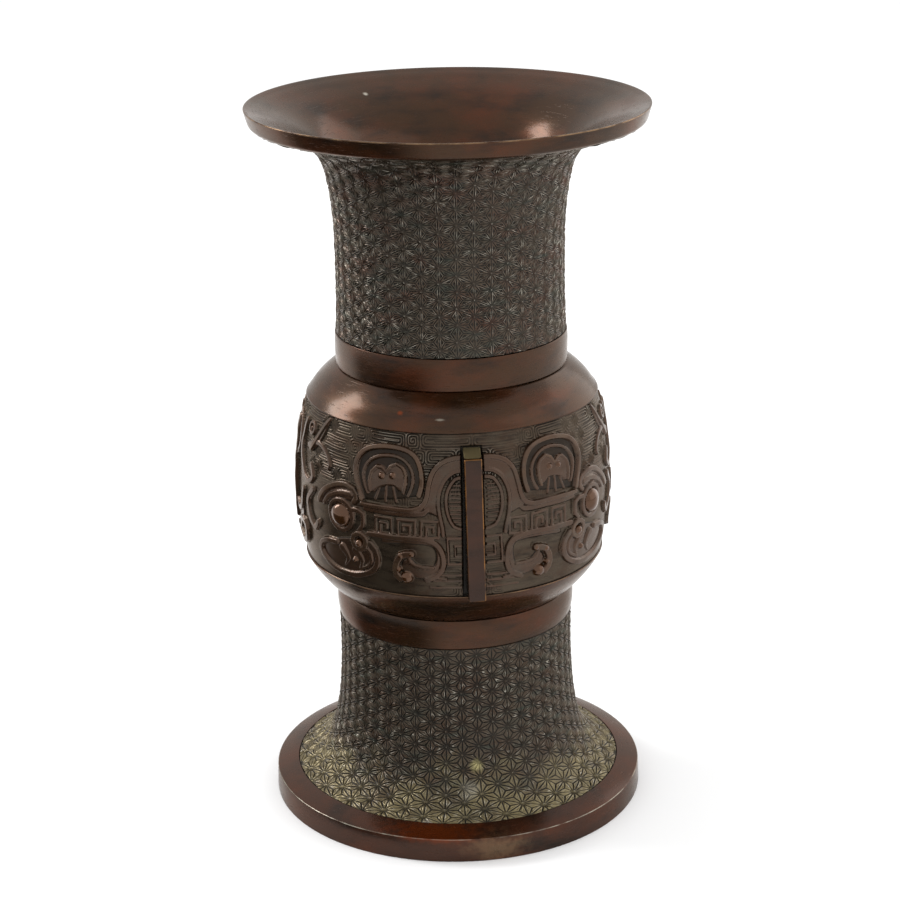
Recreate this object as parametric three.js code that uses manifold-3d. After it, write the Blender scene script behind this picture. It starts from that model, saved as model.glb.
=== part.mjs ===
/* Bronze vase in the gu form: a trumpet mouth on a straight neck, a swelling drum that carries two
   beast masks in relief between two upright flanges, and a flared foot in a heavy base ring.
   It is cast in sections that lap under plain collars, with a floor disc held in the lower lap.
   Lengths are in millimetres, +Z is up, and the origin is at the middle of the base. The flanges
   stand on +Y and -Y, and the masks face +X and -X. */
import * as THREE from "three";
import { mergeVertices } from "three/addons/utils/BufferGeometryUtils.js";
import Module from "manifold-3d";

const wasm = await Module();
wasm.setup();

// Facets round each turned piece, steps along its curves, and the gap where pieces meet
const SIDES = 40;
const CURVE_STEPS = 8;
const NECK_STEPS = 14;
const SHOULDER_STEPS = 3;
const GROUND_STEPS = 4;
const FIT = 0.3;

// Points nearer to each other than this are one point of a solid
const WELD = 1e-4;

// Heights of the five zones, from the base up
const FOOT_HEIGHT = 98;
const LOWER_COLLAR_HEIGHT = 15.5;
const DRUM_HEIGHT = 117.5;
const UPPER_COLLAR_HEIGHT = 16.5;
const NECK_HEIGHT = 112.5;

// Base ring: an angle section whose top slopes up to the foot
const BASE_RADIUS = 95.5;
const BASE_DRAFT = 0.4;
const BASE_SIDE_HEIGHT = 12;
const BASE_TOP_HEIGHT = 15.2;
const BASE_TREAD = 7;
const BASE_TOP_WIDTH = 11.5;
const BASE_LEDGE_THICKNESS = 4;
const BASE_LEDGE_WIDTH = 4.5;

// Foot: a short stem that flares out to its rim
const FOOT_RIM_DEPTH = 3.6;
const FOOT_SEAT_WIDTH = 6.6;
const FOOT_STEM_RADIUS = 59.5;
const FOOT_STEM_PULL = new THREE.Vector2(0.058, 0.857);
const FOOT_RIM_PULL = new THREE.Vector2(0.66, 0.086);
const FOOT_WALL = 3.8;

// Collars: the plain bands over the two laps
const LOWER_COLLAR_RADIUS = 59.7;
const LOWER_COLLAR_SWELL = 1.1;
const LOWER_COLLAR_WALL = 3.6;
const UPPER_COLLAR_RADIUS = 57.8;
const UPPER_COLLAR_SWELL = 0.3;
const UPPER_COLLAR_WALL = 3.3;
const SPIGOT_WALL = 3.4;

// Floor disc and the fillets of solder that hold it and the foot
const FLOOR_THICKNESS = 3;
const FLOOR_SOLDER_LEG = 3.4;
const BASE_SOLDER_LEG = 2.7;

// Drum: plain shoulders above and below a sunk band, whose ground swells at the middle
const DRUM_WALL = 4.4;
const BAND_FOOT_HEIGHT = 19.5;
const BAND_HEIGHT = 82.6;
const BAND_FOOT_RADIUS = 75;
const BAND_MIDDLE_RADIUS = 78.3;
const BAND_HEAD_RADIUS = 72.3;
const BAND_SINK = 0.8;
const LOWER_SHOULDER_RADIUS = 59.6;
const UPPER_SHOULDER_RADIUS = 57.8;
const SHOULDER_SWELL = 1.3;

// Flanges: upright bars let into the drum on two tenons each
const FLANGE_WIDTH = 8.5;
const FLANGE_REACH = 6.7;
const FLANGE_FOOT_RISE = 1;
const FLANGE_HEIGHT = 72.3;
const FLANGE_HEAD_SLOPE = 2.7;
const FLANGE_GROOVE_DEPTH = 1.4;
const FLANGE_STEPS = 6;
const TENON_WIDTH = 5.5;
const TENON_HEIGHT = 9;
const TENON_INSET = 16;
const TENON_STANDOUT = 1.2;

// Neck and mouth. The neck's face is given as shares of its flare and of its height.
const NECK_LINE = [
  [0.023, 0],
  [0, 0.3],
  [0.008, 0.52],
  [0.033, 0.637],
  [0.085, 0.752],
  [0.16, 0.838],
  [0.29, 0.897],
  [0.5, 0.945],
  [1, 1],
];
const NECK_BORE_RADIUS = 51.6;
const NECK_WAIST_RADIUS = 56.3;
const LIP_RADIUS = 98.7;
const LIP_THICKNESS = 8.2;
const LIP_TAPER = 2.3;
const LIP_EDGE = 1.1;
const LIP_LAND = 1.2;
const THROAT_DEPTH = 82;
const THROAT_PULL = 65;
const MOUTH_PULL = new THREE.Vector2(31, 14);

// Relief: strokes are drawn on a sheet that is stretched over a quarter of the band, from the
// middle of a flange to the middle of a mask, and are given heights over the band's ground.
// A stroke's width is half of what it covers, and a tapered one loses a share of it by its end.
const SHEET_WIDTH = 122.5;
const RELIEF_ROOT = 1;
const RELIEF_HIGH = 1.7;
const RELIEF_MIDDLE = 1.3;
const STROKE_STEP = 10;
const STROKE_TAPER = 0.85;
const CORNER_REACH = 1.5;
const BOSS_SIDES = 8;
const BOSS_BULGE = 0.65;
const EYE_RADIUS = 6;
const CHEEK_BOSS_RADIUS = 3.4;
const SCROLL_BOSS_RADIUS = 2.9;

// Levels of the joints, worked out from the zones
const lowerCollarLevel = FOOT_HEIGHT;
const drumLevel = lowerCollarLevel + LOWER_COLLAR_HEIGHT;
const bandLevel = drumLevel + BAND_FOOT_HEIGHT;
const upperCollarLevel = drumLevel + DRUM_HEIGHT;
const neckLevel = upperCollarLevel + UPPER_COLLAR_HEIGHT;
const totalHeight = neckLevel + NECK_HEIGHT;
const footRimLevel = BASE_TOP_HEIGHT - FIT;
const footSeatLevel = footRimLevel - FOOT_RIM_DEPTH;
const footBoreRadius = BASE_RADIUS - BASE_TOP_WIDTH;
const footRimRadius = footBoreRadius - FIT;
const floorLevel = lowerCollarLevel + (LOWER_COLLAR_HEIGHT - FLOOR_THICKNESS) / 2;
const upperLapLevel = upperCollarLevel + UPPER_COLLAR_HEIGHT / 2;
const lowerSpigotRadius = LOWER_COLLAR_RADIUS - LOWER_COLLAR_WALL - FIT;
const upperSpigotRadius = UPPER_COLLAR_RADIUS - UPPER_COLLAR_WALL - FIT;

// Surfaces of the bronze, from the polished bands to the chased grounds, and of the solder
const METALNESS = 0.85;
const polished = { color: 0x3f2a20, roughness: 0.35, metalness: METALNESS };
const chased = { color: 0x35302a, roughness: 0.5, metalness: METALNESS };
const green = { color: 0x6e6748, roughness: 0.6, metalness: METALNESS };
const rubbed = { color: 0x6b4a2c, roughness: 0.4, metalness: METALNESS };
const solder = { color: 0x77736c, roughness: 0.6, metalness: METALNESS };

// Turns a closed outline of [radius, height] points about the Z axis
function turned(outline) {
  const points = outline.map(([radius, height]) => new THREE.Vector2(radius, height));
  points.push(points[0].clone());
  const geometry = new THREE.LatheGeometry(points, SIDES);
  geometry.rotateX(Math.PI / 2);
  return geometry;
}

// Points along a cubic curve that leaves its start towards one handle and arrives by another
function curved(start, startHandle, endHandle, end) {
  const [a, b, c, d] = [start, startHandle, endHandle, end].map(([x, y]) => new THREE.Vector2(x, y));
  return new THREE.CubicBezierCurve(a, b, c, d).getPoints(CURVE_STEPS).map(({ x, y }) => [x, y]);
}

// Points of a shoulder between two ends, swelling outwards from the straight line by a distance
function shoulder([startRadius, startHeight], [endRadius, endHeight], swell) {
  const along = new THREE.Vector2(endRadius - startRadius, endHeight - startHeight);
  const out = new THREE.Vector2(along.y, -along.x).normalize();
  return Array.from({ length: SHOULDER_STEPS + 1 }, (_, i) => {
    const t = i / SHOULDER_STEPS;
    const push = 4 * swell * t * (1 - t);
    return [startRadius + along.x * t + out.x * push, startHeight + along.y * t + out.y * push];
  });
}

// The inner face of a wall: an outer line that runs upwards, moved inwards by the wall's thickness
function inside(outer, wall) {
  return outer.map(([radius, height], i) => {
    const before = outer[Math.max(i - 1, 0)];
    const after = outer[Math.min(i + 1, outer.length - 1)];
    const along = new THREE.Vector2(after[0] - before[0], after[1] - before[1]).normalize();
    return [radius - along.y * wall, height + along.x * wall];
  });
}

// A solid from a closed geometry, and a geometry from a solid
function solidOf(geometry) {
  const bare = geometry.clone();
  bare.deleteAttribute("normal");
  bare.deleteAttribute("uv");
  const merged = mergeVertices(bare, WELD);
  const vertProperties = new Float32Array(merged.attributes.position.array);
  const triVerts = new Uint32Array(merged.index.array);
  return new wasm.Manifold(new wasm.Mesh({ numProp: 3, vertProperties, triVerts }));
}

function geometryOf(solid) {
  const { vertProperties, triVerts } = solid.getMesh();
  const geometry = new THREE.BufferGeometry();
  geometry.setAttribute("position", new THREE.BufferAttribute(vertProperties, 3));
  geometry.setIndex(new THREE.BufferAttribute(triVerts, 1));
  geometry.computeVertexNormals();
  return geometry;
}

// Radius of the band's ground at a height above the band's foot
function groundRadius(height) {
  const t = THREE.MathUtils.clamp(height / BAND_HEIGHT, 0, 1);
  const atFoot = BAND_FOOT_RADIUS * (1 - t) * (1 - 2 * t);
  const atMiddle = BAND_MIDDLE_RADIUS * 4 * t * (1 - t);
  const atHead = BAND_HEAD_RADIUS * t * (2 * t - 1);
  return atFoot + atMiddle + atHead;
}

// The ground of the band as [radius, height] points
function ground(steps) {
  return Array.from({ length: steps + 1 }, (_, i) => {
    const height = (BAND_HEIGHT * i) / steps;
    return [groundRadius(height), bandLevel + height];
  });
}

// The ring under the foot, with a ledge inside that the foot's rim sits on
function baseRing() {
  const ledge = footSeatLevel - FIT;
  const ledgeBore = footBoreRadius - BASE_LEDGE_WIDTH;
  const ledgeUnderside = ledge - BASE_LEDGE_THICKNESS;
  return turned([
    [BASE_RADIUS - BASE_TREAD, 0],
    [BASE_RADIUS, 0],
    [BASE_RADIUS - BASE_DRAFT, BASE_SIDE_HEIGHT],
    [footBoreRadius, BASE_TOP_HEIGHT],
    [footBoreRadius, ledge],
    [ledgeBore, ledge],
    [ledgeBore, ledgeUnderside],
    [BASE_RADIUS - BASE_TREAD, ledgeUnderside],
  ]);
}

// The foot's outer face, from its rim up to the lower collar
function footFace() {
  const flare = footRimRadius - FOOT_STEM_RADIUS;
  const height = FOOT_HEIGHT - footRimLevel;
  return curved(
    [footRimRadius, footRimLevel],
    [footRimRadius - FOOT_RIM_PULL.x * flare, footRimLevel + FOOT_RIM_PULL.y * height],
    [FOOT_STEM_RADIUS - FOOT_STEM_PULL.x * flare, FOOT_HEIGHT - FOOT_STEM_PULL.y * height],
    [FOOT_STEM_RADIUS, FOOT_HEIGHT],
  );
}

function foot() {
  const spigotBore = lowerSpigotRadius - SPIGOT_WALL;
  const spigotTop = floorLevel - FIT;
  const seatInner = footRimRadius - FOOT_SEAT_WIDTH;
  const boreTop = FOOT_HEIGHT - 2 * SPIGOT_WALL;
  const inner = inside(footFace(), FOOT_WALL);
  const bore = inner.filter(([radius, height]) => radius < seatInner && height < boreTop);
  return turned([
    ...footFace(),
    [lowerSpigotRadius, FOOT_HEIGHT],
    [lowerSpigotRadius, spigotTop],
    [spigotBore, spigotTop],
    [spigotBore, FOOT_HEIGHT - SPIGOT_WALL],
    ...bore.reverse(),
    [seatInner, footSeatLevel],
    [footRimRadius, footSeatLevel],
  ]);
}

// A plain band from one level to another, swelling a little at mid height
function collar(bottom, top, radius, swell, wall) {
  const face = shoulder([radius, bottom], [radius, top], swell);
  return turned([...face, [radius - wall, top], [radius - wall, bottom]]);
}

// A ring of solder that fills the corner under a face and inside a bore
function solderFillet(radius, level, leg) {
  return turned([
    [radius - leg, level],
    [radius, level - leg],
    [radius, level],
  ]);
}

// The disc that closes the vase's bottom, held between the spigots of the drum and the foot
function floorDisc() {
  const geometry = new THREE.CylinderGeometry(lowerSpigotRadius, lowerSpigotRadius, FLOOR_THICKNESS, SIDES);
  geometry.rotateX(Math.PI / 2);
  return geometry;
}

// The drum's wall without relief: spigot, shoulder, sunk band, shoulder and spigot
function drumWall() {
  const bottom = drumLevel + FIT;
  const bandHead = bandLevel + BAND_HEIGHT;
  const bandFootEdge = [BAND_FOOT_RADIUS + BAND_SINK, bandLevel];
  const bandHeadEdge = [BAND_HEAD_RADIUS + BAND_SINK, bandHead];
  const lower = shoulder([LOWER_SHOULDER_RADIUS, bottom], bandFootEdge, SHOULDER_SWELL);
  const upper = shoulder(bandHeadEdge, [UPPER_SHOULDER_RADIUS, upperCollarLevel], SHOULDER_SWELL);
  const lowerSpigot = floorLevel + FLOOR_THICKNESS + FIT;
  const upperSpigot = upperLapLevel - FIT / 2;
  const lowerBore = lowerSpigotRadius - SPIGOT_WALL;
  const bore = inside([lower[2], ...ground(SHOULDER_STEPS), upper[1], upper[2]], DRUM_WALL);
  return turned([
    [lowerSpigotRadius, lowerSpigot],
    [lowerSpigotRadius, bottom],
    ...lower,
    ...ground(GROUND_STEPS),
    ...upper,
    [upperSpigotRadius, upperCollarLevel],
    [upperSpigotRadius, upperSpigot],
    [NECK_BORE_RADIUS, upperSpigot],
    [NECK_BORE_RADIUS, upperCollarLevel - DRUM_WALL],
    ...bore.filter(([radius]) => radius > Math.max(NECK_BORE_RADIUS, lowerBore)).reverse(),
    [lowerBore, drumLevel],
    [lowerBore, lowerSpigot],
  ]);
}

// The neck with its trumpet mouth
function neck() {
  const bottom = neckLevel + FIT;
  const underside = totalHeight - LIP_THICKNESS;
  const undersideRadius = LIP_RADIUS - LIP_TAPER - LIP_EDGE;
  const land = LIP_RADIUS - LIP_EDGE - LIP_LAND;
  const places = NECK_LINE.map(
    ([flare, height]) =>
      new THREE.Vector2(
        NECK_WAIST_RADIUS + flare * (undersideRadius - NECK_WAIST_RADIUS),
        bottom + height * (underside - bottom),
      ),
  );
  const face = new THREE.SplineCurve(places).getPoints(NECK_STEPS).map(({ x, y }) => [x, y]);
  const throat = curved(
    [land, totalHeight],
    [land - MOUTH_PULL.x, totalHeight - MOUTH_PULL.y],
    [NECK_BORE_RADIUS, totalHeight - THROAT_DEPTH + THROAT_PULL],
    [NECK_BORE_RADIUS, totalHeight - THROAT_DEPTH],
  );
  return turned([
    [upperSpigotRadius, upperLapLevel + FIT / 2],
    [upperSpigotRadius, bottom],
    ...face,
    [LIP_RADIUS - LIP_TAPER, underside + LIP_EDGE],
    [LIP_RADIUS, totalHeight - LIP_EDGE],
    [LIP_RADIUS - LIP_EDGE, totalHeight],
    ...throat,
    [NECK_BORE_RADIUS, upperLapLevel + FIT / 2],
  ]);
}

// Bends a flat extrusion onto the band: x is the distance round from the flange, y the height
// above the band's foot and z the height over the ground. Side is +1 or -1, for the mirrored half.
function wrapped(geometry, flangeAngle, side) {
  const position = geometry.attributes.position;
  for (let i = 0; i < position.count; i += 1) {
    const round = (position.getX(i) / SHEET_WIDTH) * (Math.PI / 2);
    const height = position.getY(i);
    const angle = flangeAngle + side * round;
    const radius = groundRadius(height) + position.getZ(i);
    position.setXYZ(i, radius * Math.cos(angle), radius * Math.sin(angle), bandLevel + height);
  }
  if (side < 0) {
    for (let i = 0; i < position.count; i += 3) {
      const [x, y, z] = [position.getX(i), position.getY(i), position.getZ(i)];
      position.setXYZ(i, position.getX(i + 2), position.getY(i + 2), position.getZ(i + 2));
      position.setXYZ(i + 2, x, y, z);
    }
  }
  return geometry;
}

// A smooth line through points, cut into even steps
function smoothLine(points) {
  const curve = new THREE.SplineCurve(points.map(([x, y]) => new THREE.Vector2(x, y)));
  const steps = Math.max(Math.round(curve.getLength() / STROKE_STEP), 3);
  return curve.getSpacedPoints(steps);
}

// Both sides of a line, as offsets square to it: halfWidth takes the share of the line behind a point
function sides(line, halfWidth) {
  const last = line.length - 1;
  const left = [];
  const right = [];
  line.forEach((point, i) => {
    const arriving = point.clone().sub(line[Math.max(i - 1, 0)]).normalize();
    const leaving = line[Math.min(i + 1, last)].clone().sub(point).normalize();
    const along = arriving.clone().add(leaving).normalize();
    const edge = i > 0 ? arriving : leaving;
    const spread = 1 / Math.max(edge.dot(along), 1 / CORNER_REACH);
    const reach = new THREE.Vector2(-along.y, along.x).multiplyScalar(halfWidth(i / last) * spread);
    left.push(point.clone().add(reach));
    right.push(point.clone().sub(reach));
  });
  return { left, right };
}

// A flat shape raised to a height over the ground, with a root below the ground
function raised(shape, height) {
  const geometry = new THREE.ExtrudeGeometry(shape, { depth: height + RELIEF_ROOT, bevelEnabled: false });
  geometry.translate(0, 0, -RELIEF_ROOT);
  return geometry;
}

// A raised stroke of the relief with pointed ends, still flat
function stroke(points, width, height, taper = 0) {
  const line = smoothLine(points);
  const halfWidth = (share) => width * (1 - taper * share);
  const { left, right } = sides(line, halfWidth);
  const [first, last] = [line[0], line[line.length - 1]];
  const tail = first.clone().sub(line[1]).setLength(halfWidth(0)).add(first);
  const head = last.clone().sub(line[line.length - 2]).setLength(halfWidth(1)).add(last);
  return raised(new THREE.Shape([tail, ...right, head, ...left.reverse()]), height);
}

// A filled plate of the relief inside a smooth outline
function plate(points, height) {
  return raised(new THREE.Shape(smoothLine([...points, points[0]]).slice(0, -1)), height);
}

// A round boss: a ball sunk to its middle in the ground and flattened outwards
function boss([across, up], radius) {
  const ball = new THREE.SphereGeometry(radius, BOSS_SIDES, BOSS_SIDES / 2);
  ball.rotateX(Math.PI / 2);
  ball.scale(1, 1, BOSS_BULGE);
  ball.translate(across, up, 0);
  return ball.toNonIndexed();
}

// One half of a mask. Points are [distance from the flange, height above the band's foot].
const HORN = [[26.4, 52.8], [25, 62], [28.1, 70.9], [36.5, 75.2], [48.6, 74.7], [58.2, 69.4], [59.9, 60], [56, 48]];
const HEART = [[51, 53.5], [51, 62.7], [46.5, 65.6], [42.9, 62.8], [37.7, 67.5], [33, 62], [34.1, 53.9], [43, 56]];
const EAR = [[56.1, 45.4], [39.5, 45.6], [26, 47], [21.9, 56.8], [16, 69], [6.8, 71.3]];
const BROW = [[85.3, 40.7], [79.7, 47.9], [70, 52.7], [61.7, 51.6], [59.9, 46.5]];
const BROW_RIDGE = [[81, 40.6], [73.7, 46.9], [65, 48.4]];
const EYE = [69.7, 36.8];
const CHEEK_BOSS = [57.9, 25.9];
const SCROLL = [[52.3, 30.5], [38.6, 30.8], [23.2, 30.9], [16.3, 25.4], [15.9, 15.7], [23.5, 9.5]];
const SCROLL_HOOK = [[30.7, 23], [36.8, 21.5], [39, 14.6], [36.6, 9.4]];
const SCROLL_BOSS = [33.4, 10.2];
const JAW = [[51.8, 25.6], [48.1, 18.8], [52.5, 10.9], [64.9, 6.3], [82.9, 9.4], [85.6, 18], [73.4, 21.7]];
const FANGS = [[[60.5, 21], [56.8, 15.5], [60, 11]], [[69, 20.5], [66, 15], [70, 11]]];
const CHEEK = [[93, 43], [98.5, 36], [97, 28], [91, 24]];
const CREST = [[96.9, 63.2], [90.9, 70.4], [83, 79.5]];
const CREST_LEAF = [[99.9, 64], [92.7, 67.3], [85.7, 66.5], [80.9, 63.4], [79.1, 58.5]];
const CREST_SCROLL = [[107, 75], [110, 63], [106, 51], [98, 46], [93, 51]];
const NOSTRIL = [[118, 14.5], [111, 11], [104.3, 14], [104, 21], [110, 23]];
const NOSE = [[SHEET_WIDTH, 71], [SHEET_WIDTH, 22]];
const NOSE_WIDTH = 2.8;

// The solids of one half mask, flat on the sheet
function halfMask() {
  return [
    stroke(HORN, 1.8, RELIEF_HIGH),
    plate(HEART, RELIEF_MIDDLE),
    stroke(EAR, 1.4, RELIEF_HIGH),
    stroke(BROW, 1.9, RELIEF_HIGH),
    stroke(BROW_RIDGE, 1.1, RELIEF_MIDDLE),
    boss(EYE, EYE_RADIUS),
    boss(CHEEK_BOSS, CHEEK_BOSS_RADIUS),
    stroke(SCROLL, 1.5, RELIEF_MIDDLE),
    stroke(SCROLL_HOOK, 1.5, RELIEF_HIGH),
    boss(SCROLL_BOSS, SCROLL_BOSS_RADIUS),
    stroke(JAW, 1.6, RELIEF_MIDDLE),
    ...FANGS.map((fang) => stroke(fang, 2.1, RELIEF_MIDDLE, STROKE_TAPER)),
    stroke(CHEEK, 1.5, RELIEF_MIDDLE),
    stroke(CREST, 2.2, RELIEF_HIGH, STROKE_TAPER),
    stroke(CREST_LEAF, 1.7, RELIEF_MIDDLE, STROKE_TAPER),
    stroke(CREST_SCROLL, 1.5, RELIEF_MIDDLE),
    stroke(NOSTRIL, 1.6, RELIEF_HIGH),
  ];
}

// The outline of a flange in the plane through its middle: x is the radius and y the height
function flangeOutline(clearance) {
  const face = BAND_MIDDLE_RADIUS + FLANGE_REACH;
  const bottom = FLANGE_FOOT_RISE - clearance;
  const top = FLANGE_FOOT_RISE + FLANGE_HEIGHT + clearance;
  const head = top + FLANGE_HEAD_SLOPE;
  const back = Array.from({ length: FLANGE_STEPS + 1 }, (_, i) => {
    const height = head - ((head - bottom) * i) / FLANGE_STEPS;
    return new THREE.Vector2(groundRadius(height) - FLANGE_GROOVE_DEPTH + FIT - clearance, height);
  });
  return [new THREE.Vector2(face, bottom), new THREE.Vector2(face, top), ...back];
}

// An upright slab of an outline, centred on the plane through the axis and lifted to the band
function upright(outline, width) {
  const geometry = new THREE.ExtrudeGeometry(new THREE.Shape(outline), { depth: width, bevelEnabled: false });
  geometry.translate(0, 0, -width / 2);
  geometry.rotateX(Math.PI / 2);
  geometry.translate(0, 0, bandLevel);
  return geometry;
}

// The two tenons of a flange, which pass through the drum's wall and stand out a little inside
function tenons(clearance) {
  const levels = [FLANGE_FOOT_RISE + TENON_INSET, FLANGE_FOOT_RISE + FLANGE_HEIGHT - TENON_INSET];
  return levels.map((level) => {
    const outer = groundRadius(level);
    const inner = outer - DRUM_WALL - TENON_STANDOUT - clearance;
    const half = TENON_HEIGHT / 2 + clearance;
    const slab = [[inner, -half], [outer, -half], [outer, half], [inner, half]];
    const outline = slab.map(([radius, offset]) => new THREE.Vector2(radius, level + offset));
    return upright(outline, TENON_WIDTH + 2 * clearance);
  });
}

// A flange with its tenons, or the space that it needs in the drum when a clearance is given
function flangeSolid(clearance = 0) {
  const bar = solidOf(upright(flangeOutline(clearance), FLANGE_WIDTH + 2 * clearance));
  return tenons(clearance).reduce((whole, tenon) => whole.add(solidOf(tenon)), bar);
}

const FLANGE_ANGLES = [-Math.PI / 2, Math.PI / 2];

// The drum with its masks, cut for the flanges
function drum() {
  let solid = solidOf(drumWall());
  const flatHalf = halfMask();
  const nose = stroke(NOSE, NOSE_WIDTH, RELIEF_HIGH);
  for (const angle of FLANGE_ANGLES) {
    for (const side of [1, -1]) {
      for (const piece of flatHalf) {
        solid = solid.add(solidOf(wrapped(piece.clone(), angle, side)));
      }
    }
    solid = solid.add(solidOf(wrapped(nose.clone(), angle, 1)));
  }
  for (const angle of FLANGE_ANGLES) {
    const turn = new THREE.Matrix4().makeRotationZ(angle);
    solid = solid.subtract(solidOf(geometryOf(flangeSolid(FIT)).applyMatrix4(turn)));
  }
  return geometryOf(solid);
}

const vase = new THREE.Group();

function place(name, geometry, surface) {
  const mesh = new THREE.Mesh(geometry, new THREE.MeshStandardMaterial(surface));
  mesh.name = name;
  vase.add(mesh);
  return mesh;
}

place("base_ring", baseRing(), polished);
place("foot", foot(), green);
place(
  "base_solder_fillet",
  solderFillet(footRimRadius - BASE_LEDGE_WIDTH, footSeatLevel - FIT, BASE_SOLDER_LEG),
  solder,
);
place(
  "lower_collar",
  collar(lowerCollarLevel + FIT, drumLevel, LOWER_COLLAR_RADIUS, LOWER_COLLAR_SWELL, LOWER_COLLAR_WALL),
  polished,
);
place("floor_disc", floorDisc(), polished).position.z = floorLevel + FLOOR_THICKNESS / 2;
place(
  "floor_solder_fillet",
  solderFillet(lowerSpigotRadius - SPIGOT_WALL - FIT, floorLevel - FIT, FLOOR_SOLDER_LEG),
  solder,
);
place("drum", drum(), chased);
["flange_front", "flange_back"].forEach((name, i) => {
  place(name, geometryOf(flangeSolid()), rubbed).rotation.z = FLANGE_ANGLES[i];
});
place(
  "upper_collar",
  collar(upperCollarLevel + FIT, neckLevel, UPPER_COLLAR_RADIUS, UPPER_COLLAR_SWELL, UPPER_COLLAR_WALL),
  polished,
);
place("neck", neck(), chased);

export default vase;
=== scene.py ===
"""The bronze vase as it looks: chased and cast surfaces, patina and studio, built round the CAD frame."""

import logging
import math
from collections.abc import Callable
from dataclasses import dataclass, field, replace
from enum import Enum

import bpy
import numpy as np
from mathutils import Matrix, Vector

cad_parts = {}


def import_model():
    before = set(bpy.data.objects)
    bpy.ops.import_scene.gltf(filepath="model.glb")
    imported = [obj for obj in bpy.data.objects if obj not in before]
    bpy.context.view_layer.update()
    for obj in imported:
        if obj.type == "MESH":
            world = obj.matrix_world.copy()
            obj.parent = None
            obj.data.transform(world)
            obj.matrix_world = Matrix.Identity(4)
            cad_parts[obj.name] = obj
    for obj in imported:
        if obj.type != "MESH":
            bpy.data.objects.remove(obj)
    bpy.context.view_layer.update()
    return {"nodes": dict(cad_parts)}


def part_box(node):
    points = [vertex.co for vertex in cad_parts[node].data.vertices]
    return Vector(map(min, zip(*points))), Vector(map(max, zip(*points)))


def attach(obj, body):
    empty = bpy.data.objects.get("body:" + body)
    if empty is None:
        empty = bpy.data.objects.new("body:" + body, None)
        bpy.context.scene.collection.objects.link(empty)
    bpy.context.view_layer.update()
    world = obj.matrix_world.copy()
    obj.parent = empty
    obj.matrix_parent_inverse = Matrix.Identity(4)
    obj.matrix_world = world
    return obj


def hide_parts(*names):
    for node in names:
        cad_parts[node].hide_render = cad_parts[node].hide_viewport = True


log = logging.getLogger("vase")

MM = 0.001
QUARTER = math.pi / 2
TURN = 2 * math.pi
# Gap between seated pieces, and the distance at which points of one mesh are joined. Millimetres.
GAP = 0.3
WELD = 0.002
# Bits that each coordinate has in a point's key
KEY_BITS = 21
# Points that a rounded corner has
ROUND_POINTS = 5

Point = tuple[float, float]
Line = list[Point]
Socket = bpy.types.NodeSocket
Value = float | tuple | Socket


class Grain:
    """Seeded smooth noise on a sheet that closes on itself across."""

    def __init__(self, seed: int, across: int, up: int) -> None:
        """Draws the grain.

        Args:
            seed: Makes one grain differ from another.
            across: Cells round the sheet.
            up: Cells up the sheet.
        """
        self.values = np.random.default_rng(seed).uniform(-1, 1, (across, up + 2))
        self.across = across
        self.up = up

    def at(self, u: np.ndarray, v: np.ndarray) -> np.ndarray:
        """Reads the grain.

        Args:
            u: Places round the sheet, 0 to 1.
            v: Places up the sheet, 0 to 1.

        Returns:
            The noise there, from -1 to 1.
        """
        x = np.mod(u, 1) * self.across
        y = np.clip(v, 0, 1) * self.up
        column, row = np.floor(x).astype(int), np.floor(y).astype(int)
        fx, fy = ease(x - column), ease(y - row)
        left, right = column % self.across, (column + 1) % self.across
        low = self.values[left, row] * (1 - fx) + self.values[right, row] * fx
        high = self.values[left, row + 1] * (1 - fx) + self.values[right, row + 1] * fx
        return low * (1 - fy) + high * fy


def ease(t: np.ndarray) -> np.ndarray:
    """Returns t from 0 to 1 with both ends made smooth."""
    t = np.clip(t, 0, 1)
    return t * t * (3 - 2 * t)


def smooth_line(points: Line, step: float, closed: bool = False) -> np.ndarray:
    """Draws a smooth curve through points.

    Args:
        points: The places that the curve passes.
        step: Length between the points that come back, roughly.
        closed: Joins the end to the start.

    Returns:
        The curve's points, one a row.
    """
    p = np.array(points, float)
    ends = (p[-1], p[0], p[1]) if closed else (2 * p[0] - p[1], None, 2 * p[-1] - p[-2])
    knots = np.vstack([ends[0], p, *([ends[1], ends[2]] if closed else [ends[2]])])
    out = []
    for a, b, c, d in zip(knots, knots[1:], knots[2:], knots[3:]):
        count = max(int(np.linalg.norm(c - b) / step), 1)
        t = np.linspace(0, 1, count, endpoint=False)[:, None]
        bend = (2 * a - 5 * b + 4 * c - d) * t**2 + (3 * b - a - 3 * c + d) * t**3
        out.append(0.5 * (2 * b + (c - a) * t + bend))
    out.append(knots[-2][None])
    return np.vstack(out)


def rounded(corner: Point, before: Point, after: Point, radius: float) -> Line:
    """Rounds a corner of an outline.

    Args:
        corner: The sharp corner.
        before: The outline's point before it.
        after: The outline's point after it.
        radius: Distance from the corner at which the rounding starts.

    Returns:
        The points that replace the corner.
    """
    c, a, b = (np.array(v, float) for v in (corner, before, after))
    start = c + (a - c) / np.linalg.norm(a - c) * radius
    end = c + (b - c) / np.linalg.norm(b - c) * radius
    steps = np.linspace(0, 1, ROUND_POINTS)
    return [tuple((1 - t) ** 2 * start + 2 * t * (1 - t) * c + t**2 * end) for t in steps]


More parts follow.
